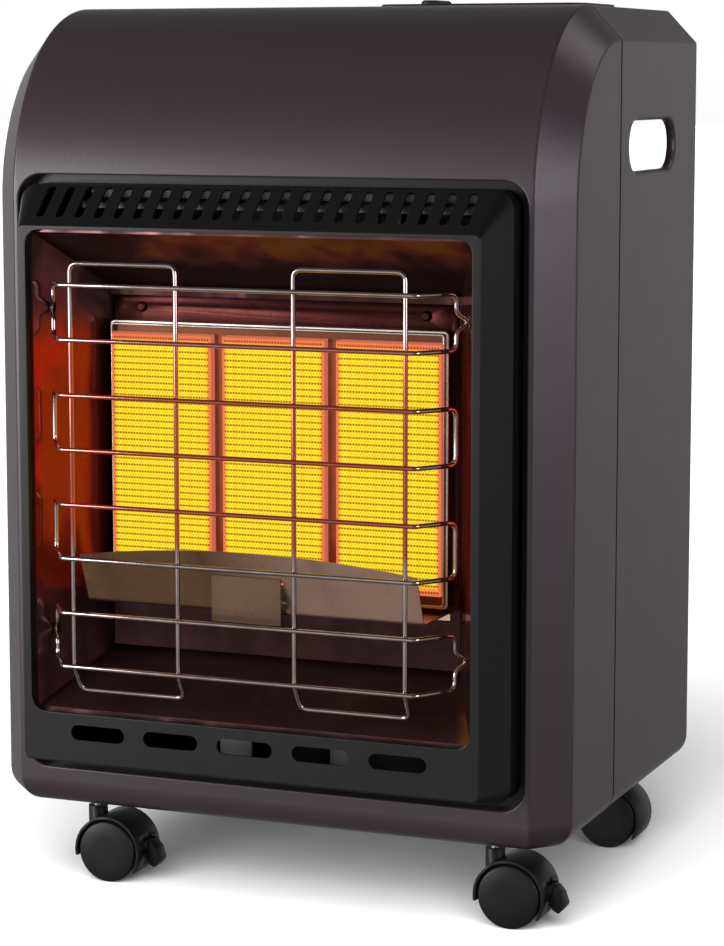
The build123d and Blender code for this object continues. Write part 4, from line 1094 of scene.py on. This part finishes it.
def guard_lines():
    """The guard's four cross loops and, behind them, its two upright loops."""
    lines = []
    for i in range(rail_loops):
        low = rail_low + i * rail_pitch
        high = low + rail_height
        middle = (low + high) / 2
        end = [(rail_end, -rail_end_reach, low), (rail_end, -rail_end_reach, high)]
        if i in (0, rail_loops - 1):
            hook = [
                (rail_end, -rail_end_reach, middle - hook_half),
                (rail_end + hook_out, hook_back - rail_end_reach, middle),
                (rail_end, -rail_end_reach, middle + hook_half),
            ]
            end[1:1] = hook
        half = [(rail_half, -rail_reach, low), *end, (rail_half, -rail_reach, high)]
        other = [(-x, d, z) for x, d, z in reversed(half)]
        loop = [(0, -rail_reach, low), *half, (0, -rail_reach, high), *other, (0, -rail_reach, low)]
        lines.append(bent_line(loop))
    reach = rail_reach - 2 * wire_radius + weld_bite
    for side in (-1, 1):
        low, high = upright_low, upright_high
        kicked = upright_kick - reach
        loop = []
        for x in (upright_inner, upright_outer):
            run = [(x, -reach, high), (x, -reach, low + upright_kick_rise), (x, kicked, low)]
            loop += run if x == upright_outer else run[::-1]
        middle = (upright_inner + upright_outer) / 2
        loop = [(middle, kicked, low), *loop, (middle, kicked, low)]
        lines.append(bent_line([(side * x, d, z) for x, d, z in loop]))
    return lines


guard = wire("guard_wires", guard_lines(), wire_radius)
finish_piece(guard, "housing", "chrome_wire", "wire_guard")


# ---------------------------------------------------------------- casters
def make_hood(name, place, braked):
    """The caster's hood: a drum open below, hollowed from both sides round its web."""
    arc = [polar(hood_radius, hood_left + (hood_right - hood_left) * i / 48) for i in range(49)]
    body = slab(name, [*arc, (0, 0)], place, hood_half)
    pocket = disc(hood_radius - hood_wall)
    reach = web_half + web_gap
    cut(body, [prism("pocket", pocket, place, reach, 0.05), prism("pocket", pocket, place, -0.05, -reach)])
    cut(body, [slab("boss", disc(axle_boss, 32), place, web_half)], "UNION")
    cut(body, [slab("bore", disc(axle_radius + axle_gap, 32), place, 0.01)])
    column = place @ Matrix.Translation((-trail, 0, 0)) @ Matrix.Rotation(math.radians(-90), 4, "X")
    heights = (hood_radius - socket_low, socket_top - wheel_radius)
    cut(body, [prism("socket", disc(socket_radius, 40), column, *heights)], "UNION")
    if braked:
        lug = place @ Matrix.Translation((*pedal_pivot, 0))
        reach = pedal_half + lug_wall
        cut(body, [slab("lug", disc(lug_radius, 24), lug, reach)], "UNION")
        start = pedal_pivot[0] - notch_behind
        end = start + notch_length
        outline = [(start, -notch_half), (end, -notch_half), (end, notch_half), (start, notch_half)]
        cut(body, [slab("notch", outline, place, pedal_half + pedal_gap)])
    soften(body, 0.0006)
    return shade(body, 35)


def make_wheels(name, place):
    """Two smooth wheels and the axle between them."""
    half = [
        (0.0, wheel_outer + 0.0005),
        (0.010, wheel_outer + 0.0004),
        (0.0195, wheel_outer),
        (0.0208, wheel_outer - 0.0005),
        (0.0217, wheel_outer - 0.0016),
        (wheel_radius, wheel_outer - 0.0032),
        (wheel_radius, wheel_inner + 0.0012),
        (0.0212, wheel_inner),
        (axle_radius, wheel_inner),
    ]
    profile = half + [(r, -h) for r, h in reversed(half)]
    return turned(name, profile, place, 72, 28)


def make_pedal(name, place):
    """The brake lever: a rounded tongue on a pivot at the trailing end of the hood."""
    shape = [
        (-0.0010, 0.0026),
        (0.0045, 0.0024),
        (0.0085, -0.0020),
        (0.0113, -0.0106),
        (0.0070, -0.0160),
        (0.0030, -0.0140),
        (-0.0006, -0.0070),
        (-0.0016, -0.0005),
    ]
    shape = [(pedal_pivot[0] + x, pedal_pivot[1] + z) for x, z in shape]
    middle = [((a[0] + b[0]) / 2, 0, (a[1] + b[1]) / 2) for a, b in zip(shape[-1:] + shape[:-1], shape)]
    closed = [middle[0], *[p for (x, z), m in zip(shape, middle[1:] + middle[:1]) for p in ((x, 0, z), m)]]
    outline = []
    for start, corner, end in zip(closed[0::2], closed[1::2], closed[2::2]):
        outline += rounded_line([start, corner, end], pedal_bend)[1:-1]
    body = slab(name, [(p.x, p.z) for p in outline], place, pedal_half)
    soften(body, 0.0007)
    return shade(body, 35)


for end, depth in caster_depths.items():
    for side, hand in ((-1, "left"), (1, "right")):
        corner = f"{end}_{hand}"
        origin = (side * caster_x + trail, back(depth), wheel_radius)
        place = placing(origin, (1, 0, 0), (0, -1, 0))
        hood = make_hood(f"hood_{corner}", place, end == "front")
        finish_piece(hood, f"swivel_{corner}", "nylon", f"caster_hood_{corner}")
        wheels = make_wheels(f"wheels_{corner}", place)
        finish_piece(wheels, f"wheels_{corner}", "nylon", f"caster_wheels_{corner}")
        if end == "front":
            pedal = make_pedal(f"brake_{corner}", place)
            finish_piece(pedal, f"brake_{corner}", "nylon", f"caster_brake_{corner}")


# ---------------------------------------------------------------- stage
def make_world():
    """A studio sky: bright at the horizon, darker above, below and towards the right rear."""
    world = bpy.data.worlds.new("studio")
    bpy.context.scene.world = world
    world.use_nodes = True
    background = world.node_tree.nodes["Background"]
    _, axes = location(background, "Generated")
    product = node(background, "ShaderNodeVectorMath", operation="MULTIPLY")
    for (axis, stops), socket in zip(sky_by_axis.items(), product.inputs):
        ramp = node(background, "ShaderNodeValToRGB")
        feed(span(axes[axis], -1, 1), ramp.inputs["Fac"])
        elements = ramp.color_ramp.elements
        while len(elements) < len(stops):
            elements.new(0.5)
        for element, (position, value) in zip(elements, stops):
            element.position = (position + 1) / 2
            element.color = (value, value, value, 1)
        feed(ramp.outputs["Color"], socket)
    feed(product.outputs["Vector"], background.inputs["Color"])
    background.inputs["Strength"].default_value = 1.0


def make_stage():
    """A white floor that nothing mirrors, with a sun of its own, and three soft lights on the heater."""
    corners = [(a * floor_half, b * floor_half, 0) for a, b in ((-1, -1), (1, -1), (1, 1), (-1, 1))]
    floor = mesh_from("floor", corners, [(0, 1, 2, 3)])
    material, _ = new_material("floor", (0.92, 0.92, 0.92), roughness=0.9, specular=0.1)
    floor.data.materials.append(material)
    floor.visible_glossy = False
    floor.visible_diffuse = False
    unlit = bpy.data.collections.new("unlit_floor")
    unlit.objects.link(floor)
    unlit.collection_objects[0].light_linking.link_state = "EXCLUDE"
    for name, place, size, power, color in lights:
        lamp = bpy.data.lights.new(name, "AREA")
        lamp.size = size
        lamp.energy = power
        lamp.color = color
        light = new_object(name, lamp)
        light.location = place
        light.rotation_euler = (light_target - Vector(place)).to_track_quat("-Z", "Y").to_euler()
        light.light_linking.receiver_collection = unlit
    sun = bpy.data.lights.new("floor_light", "SUN")
    sun.energy = sun_power
    sun.angle = math.radians(sun_spread)
    light = new_object("floor_light", sun)
    light.rotation_euler = [math.radians(angle) for angle in sun_tilt]
    lit = bpy.data.collections.new("lit_floor")
    lit.objects.link(floor)
    light.light_linking.receiver_collection = lit


def make_camera():
    """The camera that took the photograph, as far as its fit goes."""
    lens = bpy.data.cameras.new("camera")
    lens.sensor_fit = "HORIZONTAL"
    lens.sensor_width = 36
    lens.lens = camera_focal
    lens.shift_y = camera_shift
    lens.clip_end = 50
    camera = new_object("camera", lens)
    camera.location = camera_place
    camera.rotation_euler = (math.radians(90 - camera_pitch), 0, math.radians(camera_yaw))
    bpy.context.scene.camera = camera


make_stage()
make_world()
make_camera()
bpy.context.scene.view_settings.view_transform = "Standard"
